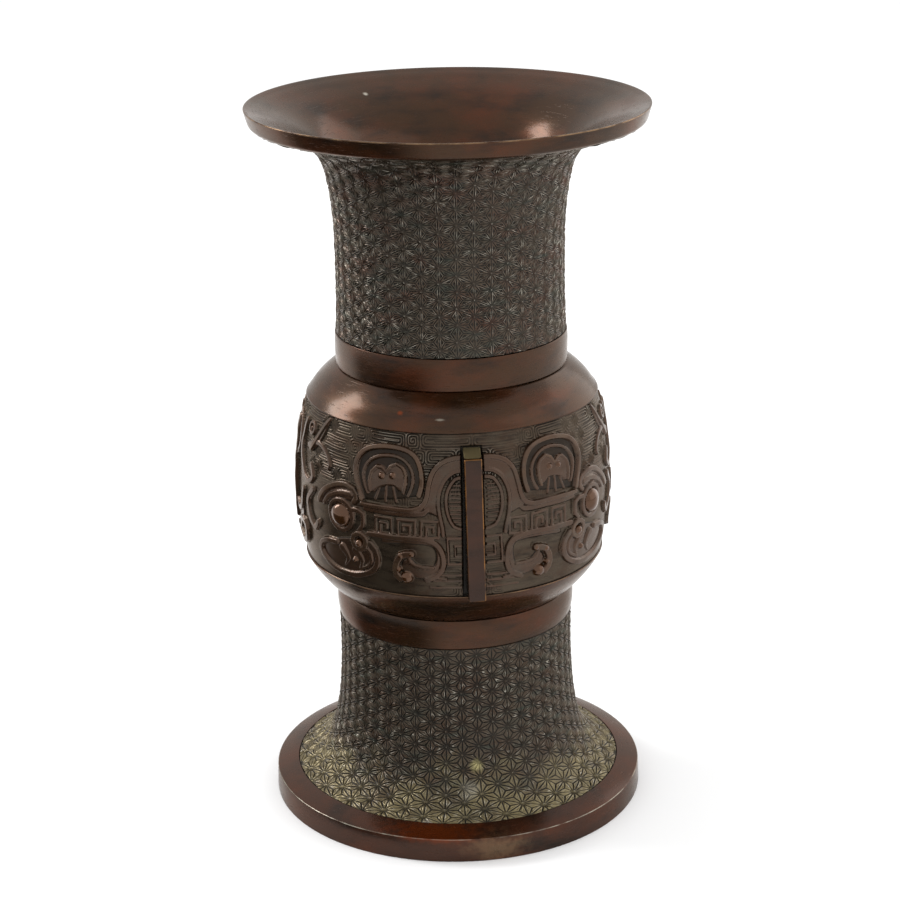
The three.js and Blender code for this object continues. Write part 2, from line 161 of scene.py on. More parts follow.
class Profile:
    """A line of radius and height that is turned about the vase's axis. Millimetres."""

    def __init__(self, points: np.ndarray | Line) -> None:
        """Measures the line.

        Args:
            points: Radius and height of each point, with the metal on the left of the way along it.
        """
        points = np.array(points, float)
        steps = np.linalg.norm(np.diff(points, axis=0), axis=1)
        apart = steps > 1e-6
        self.points = points[np.concatenate([[True], apart])]
        self.reach = np.concatenate([[0], np.cumsum(steps[apart])])
        self.length = float(self.reach[-1])
        along = np.gradient(self.points, self.reach, axis=0)
        along /= np.linalg.norm(along, axis=1)[:, None]
        self.out = np.column_stack([along[:, 1], -along[:, 0]])

    def place(self, distance: np.ndarray, lift: np.ndarray | float, angle: np.ndarray) -> np.ndarray:
        """Finds points on the turned surface.

        Args:
            distance: Length along the line from its start.
            lift: Height over the surface, square to it.
            angle: Angle round the axis from +X.

        Returns:
            Points in space, one a row.
        """
        radius, height, out_r, out_z = (
            np.interp(distance, self.reach, values) for values in (*self.points.T, *self.out.T)
        )
        radius, height = radius + out_r * lift, height + out_z * lift
        return np.column_stack([radius * np.cos(angle), radius * np.sin(angle), height])


@dataclass
class Lift:
    """How a sheet leaves its profile, point by point."""

    # Height over the profile in millimetres
    height: np.ndarray
    # How far a point counts as cut in or rubbed, -1 to 1, which the finishes paint as dirt with painted shade
    # or as wear with painted highlights
    relief: np.ndarray
    # Which part of the ornament a point is: 0 its ground, 0.5 its forms and 1 its bosses
    tone: np.ndarray

    @classmethod
    def plain(cls, height: np.ndarray, relief: np.ndarray | None = None) -> "Lift":
        """Returns a lift with no ornament."""
        nothing = np.zeros_like(height)
        return cls(height, nothing if relief is None else relief, nothing)


# Gives the lift from the angle round the axis and the distance along the profile
Shape = Callable[[np.ndarray, np.ndarray], Lift]


def linked(name: str, data: bpy.types.ID) -> bpy.types.Object:
    """Returns a new object of some data, put in the scene."""
    thing = bpy.data.objects.new(name, data)
    bpy.context.collection.objects.link(thing)
    return thing


class Skin:
    """The faces of one bronze piece, gathered patch by patch, with how far each point stands up."""

    def __init__(self, span: float) -> None:
        """Starts an empty skin.

        Args:
            span: Length of the whole outline in millimetres, which shares out the picture map.
        """
        self.span = span
        self.count = 0
        self.patches: list[tuple[np.ndarray, ...]] = []
        self.corners: list[np.ndarray] = []
        self.sizes: list[np.ndarray] = []

    def add(self, points: np.ndarray, picture: np.ndarray, lift: Lift, *faces: np.ndarray) -> None:
        """Adds a patch.

        Args:
            points: Places in millimetres, one a row.
            picture: Place of each point on the picture map.
            lift: Relief and tone of each point.
            faces: Indexes of each face's corners, one face a row, in an array for each number of corners.
        """
        self.patches.append((points, picture, lift.relief, lift.tone))
        for group in faces:
            self.corners.append((group + self.count).ravel())
            self.sizes.append(np.full(len(group), group.shape[1]))
        self.count += len(points)

    def sheet(self, profile: Profile, start: float, columns: int, shape: Shape | None = None) -> None:
        """Adds the turned surface of a profile as a closed sheet of four-sided faces.

        Args:
            profile: The line that is turned.
            start: Where the profile starts on the whole outline.
            columns: Faces round the axis.
            shape: Gives the lift of the sheet's points, where they leave the profile.
        """
        grid = np.meshgrid(np.linspace(0, 1, columns + 1), profile.reach, indexing="ij")
        turn, distance = (m.ravel() for m in grid)
        angle = turn * TURN
        lift = shape(angle, distance) if shape else Lift.plain(np.zeros_like(turn))
        picture = np.column_stack([turn, (start + distance) / self.span])
        rows = len(profile.reach)
        corner = (np.arange(columns)[:, None] * rows + np.arange(rows - 1)).ravel()
        faces = np.column_stack([corner, corner + rows, corner + rows + 1, corner + 1])
        self.add(profile.place(distance, lift.height, angle), picture, lift, faces)

    def piece(self, name: str, *nodes: str) -> bpy.types.Object:
        """Makes the object, with points that share a place joined.

        Args:
            name: The object's name.
            nodes: The CAD nodes that it stands for.

        Returns:
            The object, riding on the vase's only body.
        """
        points, picture, relief, tone = (np.concatenate(parts) for parts in zip(*self.patches))
        corners, sizes = np.concatenate(self.corners), np.concatenate(self.sizes)
        keys = np.round(points / WELD).astype(np.int64) + 2 ** (KEY_BITS - 1)
        places = keys @ np.array([2 ** (2 * KEY_BITS), 2**KEY_BITS, 1])
        _, first, joined = np.unique(places, return_index=True, return_inverse=True)
        mesh = bpy.data.meshes.new(name)
        mesh.vertices.add(len(first))
        mesh.vertices.foreach_set("co", (points[first] * MM).astype(np.float32).ravel())
        mesh.loops.add(len(corners))
        mesh.loops.foreach_set("vertex_index", joined.ravel()[corners].astype(np.int32))
        mesh.polygons.add(len(sizes))
        mesh.polygons.foreach_set("loop_start", (np.cumsum(sizes) - sizes).astype(np.int32))
        mesh.uv_layers.new(name="OFBake").data.foreach_set("uv", picture[corners].astype(np.float32).ravel())
        for label, values in (("relief", relief), ("tone", tone)):
            layer = mesh.attributes.new(label, "FLOAT", "POINT").data
            layer.foreach_set("value", values[first].astype(np.float32))
        mesh.update(calc_edges=True)
        mesh.validate()
        mesh.polygons.foreach_set("use_smooth", np.ones(len(mesh.polygons), bool))
        made = linked(name, mesh)
        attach(made, "root")
        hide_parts(*nodes)
        log.info("%s: %d faces", name, len(mesh.polygons))
        return made


class Hue(Enum):
    """Colours of the bronze under its wax, as seen in even light, and of the painted shade and painted
    highlights laid over it.
    """

    BROWN = "#3a2411"
    RED_BROWN = "#4e2610"
    VIOLET_GREY = "#352b27"
    NEAR_BLACK = "#19120b"
    GREY_BROWN = "#453b2f"
    UMBER = "#3c2a1c"
    OLIVE = "#786d4e"
    DIRT_AND_SHADE = "#0e0c08"
    SILVERY = "#9c9789"
    GOLDEN = "#8a5c2a"
    RUSSET = "#452a1c"
    GREEN_BLACK = "#2c352d"
    AMBER = "#442e1f"
    BRIGHT_AMBER = "#472808"
    PLUM = "#3d2418"
    DARK_PLUM = "#2b1c15"
    BUFF = "#85694c"
    PEWTER = "#c4beb0"
    ORANGE = "#6e2c02"
    PALE_GREEN = "#a39a6c"
    SOLDER = "#8b857b"

    def linear(self) -> tuple[float, float, float, float]:
        """Returns the colour as Blender takes it."""
        parts = [int(self.value[i : i + 2], 16) / 255 for i in (1, 3, 5)]
        return (*[c / 12.92 if c <= 0.04045 else ((c + 0.055) / 1.055) ** 2.4 for c in parts], 1.0)


class Nodes:
    """Adds nodes to a material and joins them."""

    def __init__(self, name: str) -> None:
        """Makes an empty material.

        Args:
            name: The material's name.
        """
        self.material = bpy.data.materials.new(name)
        self.material.use_nodes = True
        self.tree = self.material.node_tree
        self.tree.nodes.clear()

    def add(self, kind: str, inputs: dict | None = None, **settings) -> bpy.types.Node:
        """Adds one node.

        Args:
            kind: Blender's name for the node's type.
            inputs: A value or an output to join, for each input by its name or number.
            settings: The node's own settings.

        Returns:
            The node.
        """
        node = self.tree.nodes.new(kind)
        for key, value in settings.items():
            setattr(node, key, value)
        for key, value in (inputs or {}).items():
            if isinstance(value, Socket):
                self.tree.links.new(value, node.inputs[key])
            else:
                node.inputs[key].default_value = value
        return node

    def cloud(
        self, scale: float, detail: float, low: float, high: float, where: Socket,
        stretch: tuple | None = None,
    ) -> Socket:
        """Makes soft blotches.

        Args:
            scale: Blotches to a metre.
            detail: How much fine break-up the blotches have.
            low: Noise value that gives 0.
            high: Noise value that gives 1.
            where: Output that gives the place.
            stretch: Scale of each axis, where the blotches aren't round.

        Returns:
            An output from 0 to 1.
        """
        if stretch:
            where = self.add("ShaderNodeMapping", {"Vector": where, "Scale": stretch}).outputs[0]
        inputs = {"Vector": where, "Scale": scale, "Detail": detail, "Roughness": 0.6}
        return self.span(self.add("ShaderNodeTexNoise", inputs).outputs["Fac"], low, high)

    def span(self, value: Value, low: float, high: float, start: float = 0, end: float = 1) -> Socket:
        """Returns value with low to high made start to end, and kept between them."""
        values = {"Value": value, "From Min": low, "From Max": high, "To Min": start, "To Max": end}
        return self.add("ShaderNodeMapRange", values, interpolation_type="SMOOTHSTEP").outputs[0]

    def blend(self, amount: Value, first: Value, second: Value) -> Socket:
        """Returns the first colour going over to the second as amount goes from 0 to 1."""
        return self.add("ShaderNodeMix", {0: amount, 6: first, 7: second}, data_type="RGBA").outputs[2]

    def sum(self, operation: str, first: Value, second: Value) -> Socket:
        """Returns the result of a sum on two values."""
        return self.add("ShaderNodeMath", {0: first, 1: second}, operation=operation).outputs[0]

    def surface(self, **inputs: Value) -> bpy.types.Material:
        """Returns the material, finished with a surface that has these inputs."""
        named = {key.replace("_", " ").title(): value for key, value in inputs.items()}
        shader = self.add("ShaderNodeBsdfPrincipled", named).outputs[0]
        self.add("ShaderNodeOutputMaterial", {"Surface": shader})
        return self.material


@dataclass(frozen=True)
class Mark:
    """A single blemish. Degrees and millimetres."""

    # Where it is: round from the front bar, out from the axis and up
    angle: float
    radius: float
    level: float
    # How far it reaches across and up, its colour, and how much of it shows
    reach: Point
    hue: Hue
    amount: float = 0.85

    # How ragged its edge is, and where that edge starts and ends, in reaches
    FRAY = 0.6
    FADE = (1.5, 0.4)

    def over(self, n: Nodes, where: Socket, colour: Value) -> Socket:
        """Lays the mark over a colour.

        Args:
            n: The material's nodes.
            where: Output that gives the place.
            colour: Output that gives the colour under the mark.

        Returns:
            The colour with the mark on it.
        """
        turn = math.radians(self.angle) - QUARTER
        middle = (self.radius * MM * math.cos(turn), self.radius * MM * math.sin(turn), self.level * MM)
        across, up = (1 / (reach * MM) for reach in self.reach)
        away = where
        for operation, by in (("SUBTRACT", middle), ("MULTIPLY", (across, across, up))):
            away = n.add("ShaderNodeVectorMath", {0: away, 1: by}, operation=operation).outputs[0]
        away = n.add("ShaderNodeVectorMath", {0: away}, operation="LENGTH").outputs["Value"]
        ragged = n.sum("ADD", away, n.sum("MULTIPLY", n.cloud(300, 4, 0.3, 0.8, where), self.FRAY))
        return n.blend(n.span(ragged, *self.FADE, 0, self.amount), colour, self.hue.linear())


@dataclass(frozen=True)
class Bronze:
    """A patinated bronze surface: what the eye gets from each part of it."""

    name: str
    # Colours of the level bronze, of what is cut in (dirt, and painted shade in the chased and relief bronze)
    # and of what is rubbed (wear with painted highlights), with how much of these two shows
    base: Hue = Hue.BROWN
    cloud: Hue = Hue.RED_BROWN
    shade: Hue = Hue.NEAR_BLACK
    hollow: Hue = Hue.DIRT_AND_SHADE
    raised: Hue = Hue.BROWN
    hollow_amount: float = 0.0
    raised_amount: float = 0.0
    # Whether rubbed crests get painted glints and the hollows lose metal
    glints: bool = False
    # Colours of the mask's forms, its bosses and the rubbed lines of its ground, which are partly painted
    # highlights, and the wax on the bosses
    form: Hue | None = None
    boss: Hue = Hue.BRIGHT_AMBER
    ground_line_sheen: Hue = Hue.PEWTER
    form_wax: float = 0.75
    # Dust on the lowest part, and the level in millimetres at which it ends
    low_tint: Hue | None = None
    low_tint_top: float = 0.0
    # Clouds and rubbed patches to a metre
    patch_scale: float = 22.0
    wear_scale: float = 90.0
    # How metallic the patina is, how bright its grazing light, and how rough it and its hollows are
    metal: float = 0.7
    edge_light: float = 0.5
    gloss: float = 0.2
    hollow_gloss: float = 0.6
    # Weight and roughness of the coat of wax, and depth of the grain and the hair scratches in millimetres
    wax: float = 0.25
    wax_gloss: float = 0.14
    grain: float = 0.02
    scratches: float = 0.0
    marks: tuple[Mark, ...] = ()

    def material(self) -> bpy.types.Material:
        """Builds the material.

        Returns:
            The material, named for what it is.
        """
        n = Nodes(self.name)
        where = n.add("ShaderNodeTexCoord").outputs["Object"]
        relief, tone = (
            n.add("ShaderNodeAttribute", attribute_name=label).outputs["Fac"] for label in ("relief", "tone")
        )
        colour, raised, wax = self.patina(n, where), self.raised.linear(), self.wax
        if self.form:
            # Amber forms and brighter bosses on a grey ground whose lines are rubbed silvery, partly as
            # painted highlights
            on_form = n.span(tone, 0.1, 0.45)
            patchy = n.span(n.cloud(110, 4, 0.3, 0.8, where), 0, 1, 0.9, 0.3)
            colour = n.blend(n.sum("MULTIPLY", on_form, patchy), colour, self.form.linear())
            colour = n.blend(n.span(tone, 0.55, 0.95), colour, self.boss.linear())
            raised = n.blend(on_form, self.ground_line_sheen.linear(), raised)
            wax = n.span(tone, 0.1, 0.9, self.wax, self.form_wax)
        # Dirt and dark wax in what is cut in, with painted shade there too, and bare metal where hands have
        # rubbed, with painted highlights there too
        dirt_and_shade = n.sum("MULTIPLY", n.span(relief, 0, -0.8), self.hollow_amount)
        colour = n.blend(dirt_and_shade, colour, self.hollow.linear())
        worn = n.sum("MULTIPLY", n.span(relief, 0.45, 1), n.cloud(self.wear_scale, 4, 0.34, 0.66, where))
        worn = n.sum("MULTIPLY", worn, self.raised_amount)
        colour = n.blend(worn, colour, raised)
        for mark in self.marks:
            colour = mark.over(n, where, colour)
        metal = self.metal
        if self.glints:
            # Painted glints: rubbed crests lose their metal in patches, so their pale colour shows as bright
            # specks, and the hollows lose theirs too, which paints them darker
            painted_glint = n.sum("MULTIPLY", worn, n.cloud(55, 3, 0.4, 0.6, where))
            metal = n.span(painted_glint, 0.1, 0.7, self.metal, self.metal * 0.3)
            metal = n.sum("MULTIPLY", metal, n.span(dirt_and_shade, 0.2, 0.9, 1, 0.25))
        # Gloss that varies like handled wax, and is lost in the hollows
        smudge = n.sum("MULTIPLY", n.cloud(60, 5, 0.3, 0.75, where, (1, 1, 3)), 0.12)
        rough = n.sum("ADD", n.span(dirt_and_shade, 0, 1, self.gloss, self.hollow_gloss), smudge)
        if self.form:
            rough = n.sum("MULTIPLY", rough, n.span(tone, 0.5, 1, 1, 0.6))
        noise = {"Vector": where, "Scale": 900.0, "Detail": 5.0, "Roughness": 0.65}
        height = n.sum("MULTIPLY", n.add("ShaderNodeTexNoise", noise).outputs["Fac"], self.grain)
        if self.scratches:
            # Hair scratches that run round the band from cleaning
            hair = n.cloud(120, 3, 0.6, 0.72, where, (1, 1, 22))
            height = n.sum("SUBTRACT", height, n.sum("MULTIPLY", hair, self.scratches))
            rough = n.sum("ADD", rough, n.sum("MULTIPLY", hair, 0.12))
        normal = n.add("ShaderNodeBump", {"Height": height, "Distance": MM, "Strength": 1.0}).outputs[0]
        return n.surface(
            base_color=colour,
            metallic=metal,
            specular_tint=(self.edge_light * 1.15, self.edge_light, self.edge_light * 0.88, 1),
            roughness=rough,
            coat_weight=wax,
            coat_roughness=self.wax_gloss,
            normal=normal,
            coat_normal=normal,
        )

    def patina(self, n: Nodes, where: Socket) -> Socket:
        """Colours the level bronze.

        Args:
            n: The material's nodes.
            where: Output that gives the place.

        Returns:
            The colour before anything is cut in or rubbed.
        """
        # Broad red clouds of a heated patina, and darker smears that wiping has drawn out round the vase
        clouds = n.cloud(self.patch_scale, 4, 0.4, 0.75, where, (1, 1, 1.8))
        colour = n.blend(clouds, self.base.linear(), self.cloud.linear())
        smears = n.cloud(self.patch_scale * 1.4, 6, 0.42, 0.8, where, (1, 1, 4))
        colour = n.blend(smears, colour, self.shade.linear())
        # Fine speckle that keeps the brown from looking painted
        speckle = n.cloud(1400, 3, 0.35, 0.8, where)
        colour = n.blend(n.sum("MULTIPLY", speckle, 0.3), colour, Hue.VIOLET_GREY.linear())
        if self.low_tint:
            # Dusty green that settles on the lowest part of the flare
            height = n.add("ShaderNodeSeparateXYZ", {0: where}).outputs["Z"]
            level = n.sum("ADD", height, n.sum("MULTIPLY", n.cloud(60, 5, 0.2, 0.8, where), 0.03))
            amount = n.span(level, self.low_tint_top * MM * 0.35, self.low_tint_top * MM, 0.95, 0)
            colour = n.blend(amount, colour, self.low_tint.linear())
        return colour


# Smooth waxed brown bronze with red and dark clouds, and buff lines of painted highlight along the lip and
# the brim under the band: collars, shoulders, mouth and throat
POLISHED = Bronze(
    "polished brown bronze",
    scratches=0.03,
    raised=Hue.BUFF,
    raised_amount=0.9,
    marks=(
        Mark(-155.3, 78.8, 352.4, (1.5, 1.5), Hue.PEWTER),
        Mark(-28.9, 67.4, 223.0, (1.8, 1.0), Hue.ORANGE),
        Mark(-12.1, 69.0, 221.2, (2.4, 0.5), Hue.SILVERY, 0.5),
        Mark(10.4, 63.9, 113.0, (3.2, 0.8), Hue.SILVERY, 0.6),
        Mark(17.0, 63.9, 110.0, (2.6, 0.7), Hue.SILVERY, 0.6),
    ),
)
# The ring's heavier polish: plum brown with red clouds, with a pale painted highlight along its arris
RING = replace(
    POLISHED,
    name="plum ring bronze",
    base=Hue.PLUM,
    raised=Hue.SILVERY,
    marks=(
        Mark(-15.0, 89.5, 13.2, (26.0, 3.5), Hue.ORANGE, 0.7),
        Mark(4.0, 95.2, 6.5, (16.0, 7.0), Hue.BUFF, 0.35),
    ),
)
# The bars' bronze: darker than the smooth one, with green left on the slope of the upper end, and golden
# rubbed edges that are partly painted highlights
BAR = Bronze(
    "rubbed bar bronze",
    base=Hue.DARK_PLUM,
    cloud=Hue.PLUM,
    hollow=Hue.OLIVE,
    hollow_amount=0.9,
    hollow_gloss=0.45,
    raised=Hue.GOLDEN,
    raised_amount=0.9,
)
# Dark chased bronze whose cut lines are painted black with dirt and shade, and whose leaves carry painted
# silvery glints
CHASED = Bronze(
    "dark chased bronze",
    base=Hue.GREY_BROWN,
    cloud=Hue.RUSSET,
    shade=Hue.GREEN_BLACK,
    raised=Hue.PEWTER,
    hollow_amount=0.95,
    raised_amount=1.0,
    glints=True,
    metal=0.75,
    gloss=0.22,
    wax=0.3,
    wax_gloss=0.12,
    wear_scale=330,
    patch_scale=60,
)
# The same chased bronze, less red, with green dust over the flare of the foot
CHASED_GREEN = replace(
    CHASED,
    name="green chased bronze",
    cloud=Hue.UMBER,
    raised_amount=0.85,
    low_tint=Hue.OLIVE,
    low_tint_top=56,
    metal=0.65,
    gloss=0.26,
    wax=0.22,
    wax_gloss=0.14,
    marks=(
        Mark(1.3, 63.9, 36.2, (3.4, 3.4), Hue.PALE_GREEN),
        Mark(-2.4, 68.8, 25.6, (5.0, 6.0), Hue.SILVERY, 0.4),
        Mark(-18.2, 83.7, 14.8, (2.6, 2.0), Hue.SOLDER),
    ),
)
# Relief bronze: grey ground with silvery lines that are partly painted highlights, brown forms that are buff,
# partly as painted highlight, where rubbed, and amber bosses
RELIEF = Bronze(
    "relief bronze",
    base=Hue.GREY_BROWN,
    cloud=Hue.UMBER,
    form=Hue.AMBER,
    raised=Hue.BUFF,
    hollow_amount=0.9,
    raised_amount=0.75,
    metal=0.72,
    gloss=0.24,
    wax=0.15,
    wax_gloss=0.12,
    patch_scale=60,
)
# Dull grey soft solder with a crystalline bloom
SOLDER = Bronze(
    "soft solder", base=Hue.SOLDER, cloud=Hue.VIOLET_GREY, shade=Hue.SOLDER, metal=0.8, gloss=0.5, wax=0
)


Steps = tuple[tuple[float, ...], ...]
# Steps of a leaf from its cut edge to its middle: how far in, and the height beside a line of the net, beside
# a spoke and at the leaf's tips. The neck's leaves have sunk middles, and the foot's are fuller.
RIBBED: Steps = (
    (0.0, -1.0, -1.0, 0.0),
    (0.11, -1.0, -0.9, -0.7),
    (0.33, 1.0, 0.7, 0.35),
    (0.52, 0.35, 0.2, 0.2),
    (0.74, -0.85, -0.85, -0.3),
)
FULL: Steps = (
    (0.0, -1.0, -1.0, 0.0),
    (0.1, -1.0, -1.0, -0.8),
    (0.24, -0.7, -0.6, -0.5),
    (0.4, 0.85, 0.65, 0.3),
    (0.7, 0.35, 0.35, 0.4),
)


@dataclass(frozen=True)
class HempLeafDiaper:
    """Chased hemp leaves: a net of triangles, each parted into three leaves by spokes. Millimetres."""

    # Upright lines of the net, and the distance between the crossings on one
    columns: int
    pitch: float = 8.1
    # How far the net is turned, in columns, and risen, in pitches
    turned: float = 0.0
    risen: float = 0.0
    # Depth of the cuts, and height of the leaves and of the dot at each crossing
    cut: float = 0.45
    swell: float = 0.5
    dot: float = 0.55
    # How much a leaf leans, how far a crossing strays in pitches, and the seed of both
    tilt: float = 0.06
    waver: float = 0.028
    seed: int = 11
    # Heights over a leaf, and the height at its very middle
    steps: Steps = RIBBED
    middle: float = -1.0

    # Rows after which the strays repeat
    STRAY_ROWS = 64
    # Lowest and highest part of the full height that a leaf was left with
    PROUD = (0.65, 1.15)
    # Which height of a step the places round a leaf take: 0 beside the net, 1 beside a spoke, 2 at a crossing
    PLACES = (2, 0, 0, 2, 1, 1, 1)
    # How much wear takes from the height of the leaves, and from how rubbed or cut in they look
    WORN_LIFT = 0.3
    WORN_LOOK = 0.2
    # How cut in the level edge of the diaper looks
    EDGE_LOOK = -0.6

    def knot(self, column: np.ndarray, row: np.ndarray) -> np.ndarray:
        """Finds a crossing of the net.

        Args:
            column: Its upright line's number.
            row: Its number on that line.

        Returns:
            Place round, in turns, and up, in millimetres, one a row.
        """
        drawn = np.random.default_rng(self.seed).uniform(-1, 1, (self.columns, self.STRAY_ROWS, 2))
        stray = (drawn * self.waver)[np.mod(column, self.columns), np.mod(row, self.STRAY_ROWS)]
        up = (row + self.risen + 0.5 * np.mod(column, 2) + stray[:, 1]) * self.pitch
        return np.column_stack([(column + stray[:, 0]) / self.columns, up])

    def leaves(self, length: float) -> tuple[np.ndarray, np.ndarray, np.ndarray]:
        """Lists the corners of every leaf.

        Args:
            length: How far up the net goes.

        Returns:
            The two crossings at each leaf's ends and the middle of its triangle.
        """
        rows = np.arange(-2, int(length / self.pitch) + 3)
        column, row = (m.ravel() for m in np.meshgrid(np.arange(self.columns), rows, indexing="ij"))
        odd = np.mod(column, 2)
        triangles = [
            (self.knot(column, row), self.knot(column, row + 1), self.knot(column + 1, row + odd)),
            (self.knot(column + 1, row + 1), self.knot(column + 1, row), self.knot(column, row + 1 - odd)),
        ]
        ends = []
        for a, b, c in triangles:
            middle = (a + b + c) / 3
            ends += [(a, c, middle), (c, b, middle), (b, a, middle)]
        return tuple(np.concatenate(parts) for parts in zip(*ends))

    def shaped(self, length: float, scale: np.ndarray) -> tuple[np.ndarray, np.ndarray]:
        """Shapes every leaf as rings of points about its middle.

        Args:
            length: How far up the net goes.
            scale: Millimetres that a turn round and a millimetre up have on the surface.

        Returns:
            Each leaf's places on the sheet, and the height at each.
        """
        first, second, middle = self.leaves(length)
        pairs = ((second, middle), (middle, first), (first, second))
        sides = [np.linalg.norm((a - b) * scale, axis=1)[:, None] for a, b in pairs]
        heart = ((first * sides[0] + second * sides[1] + middle * sides[2]) / sum(sides))[:, None]
        rim = [first + (second - first) * t for t in (0, 1 / 3, 2 / 3)]
        rim += [second, (second + middle) / 2, middle, (middle + first) / 2]
        rim = np.stack(rim, axis=1)
        rng = np.random.default_rng(self.seed + 1)
        proud = rng.uniform(*self.PROUD, len(first))[:, None]
        spots = np.concatenate([rim + (heart - rim) * t for t, *_ in self.steps] + [heart], axis=1)
        levels = [np.array(heights)[list(self.PLACES)] for _, *heights in self.steps]
        height = np.concatenate(levels + [[self.middle]])
        lift = np.where(height < 0, height * self.cut, height * self.swell * proud)
        # Each leaf leans its own way, as the chasing tool left it
        lean = rng.normal(0, self.tilt, (len(first), 1, 2))
        lift += np.where(height > 0.3, ((spots - heart) * scale * lean).sum(axis=2), 0)
        lift[:, [place for place, kind in enumerate(self.PLACES) if kind == 2]] = self.dot
        return spots, lift

    def faces(self) -> tuple[np.ndarray, np.ndarray]:
        """Returns one leaf's four-sided faces between its rings, and its three-sided ones in the middle."""
        around = len(self.PLACES)
        last = (len(self.steps) - 1) * around
        sides = [(i, (i + 1) % around) for i in range(around)]
        rings = [(k, k + around) for k in range(0, last, around)]
        quads = [(out + i, out + j, into + j, into + i) for out, into in rings for i, j in sides]
        return np.array(quads), np.array([(last + i, last + j, last + around) for i, j in sides])

    def cover(self, skin: Skin, profile: Profile, start: float, wear: Grain) -> None:
        """Adds the chased surface to a piece.

        Args:
            skin: The piece's faces.
            profile: The line that the diaper covers, from its lower end up.
            start: Where that line starts on the whole outline.
            wear: Where the chasing is rubbed down.
        """
        width = TURN * float(np.median(profile.points[:, 0]))
        spots, lift = self.shaped(profile.length, np.array([width, 1.0]))
        inside = (spots[:, :, 1].max(axis=1) > 0) & (spots[:, :, 1].min(axis=1) < profile.length)
        spots, lift = spots[inside], lift[inside]
        outside = (spots[:, :, 1] <= 0) | (spots[:, :, 1] >= profile.length)
        spots[:, :, 1] = np.clip(spots[:, :, 1], 0, profile.length)
        worn = ease((wear.at(spots[:, :, 0], spots[:, :, 1] / profile.length) - 0.1) * 1.4)
        # How cut in or rubbed each point looks: the finish paints the cuts with dirt and painted shade, and
        # the crests and the dots at the crossings with wear and painted glints
        look = np.clip(np.where(lift > 0, lift / self.swell, lift / self.cut), -1, 1)
        look = look * (1 - self.WORN_LOOK * worn)
        lift = lift * (1 - self.WORN_LIFT * worn)
        lift[outside] = 0
        look[outside] = self.EDGE_LOOK
        base = np.arange(len(lift))[:, None, None] * lift.shape[1]
        groups = [(base + group).reshape(-1, group.shape[1]) for group in self.faces()]
        spots, lift, look = spots.reshape(-1, 2), lift.ravel(), look.ravel()
        points = profile.place(spots[:, 1], lift, (spots[:, 0] + self.turned / self.columns) * TURN)
        picture = np.column_stack([spots[:, 0], (start + spots[:, 1]) / skin.span])
        skin.add(points, picture, Lift.plain(lift, look), *groups)


@dataclass(frozen=True)
class KeyGround:
    """Cast key pattern: rows of square spirals with long flat ones between. Millimetres."""

    # Width of a line and its gap, and how many turns a spiral has
    line: float = 1.25
    turns: int = 3
    # Widths of the spirals along a row, in lines, and how far each row is moved along, in repeats
    widths: tuple[int, ...] = (6, 17, 7, 12, 6, 22)
    step: float = 0.37
    depth: float = 0.38
    squareness: float = 4.0

    def height(self, across: np.ndarray, up: np.ndarray) -> np.ndarray:
        """Gives the pattern.

        Args:
            across: Place round from the flange.
            up: Place over the band's foot.

        Returns:
            Height, from the bottom of the lines at -1 to their tops at 1.
        """
        tall = 2 * self.turns * self.line
        row = np.floor(up / tall).astype(int)
        ends = np.cumsum(self.widths) * self.line
        shifted = np.mod(across + row * self.step * ends[-1], ends[-1])
        unit = np.searchsorted(ends, shifted, side="right")
        unit = np.minimum(unit, len(ends) - 1)
        wide = np.array(self.widths)[unit] * self.line
        x = shifted - (ends[unit] - wide / 2)
        y = up - (row + 0.5) * tall
        half = np.where(y < 0, 0.5, 0.0) * self.line
        beside = np.maximum(np.abs(x - half) - (wide - tall) / 2, 0)
        ring = (beside**self.squareness + np.abs(y) ** self.squareness) ** (1 / self.squareness) + half
        return np.cos(TURN * ring / self.line)


class Edge(Enum):
    """How a relief stroke is cut."""

    BEAD = "rounded over its whole width"
    PLATE = "a level raised inside a closed line"
    BALL = "a round boss"


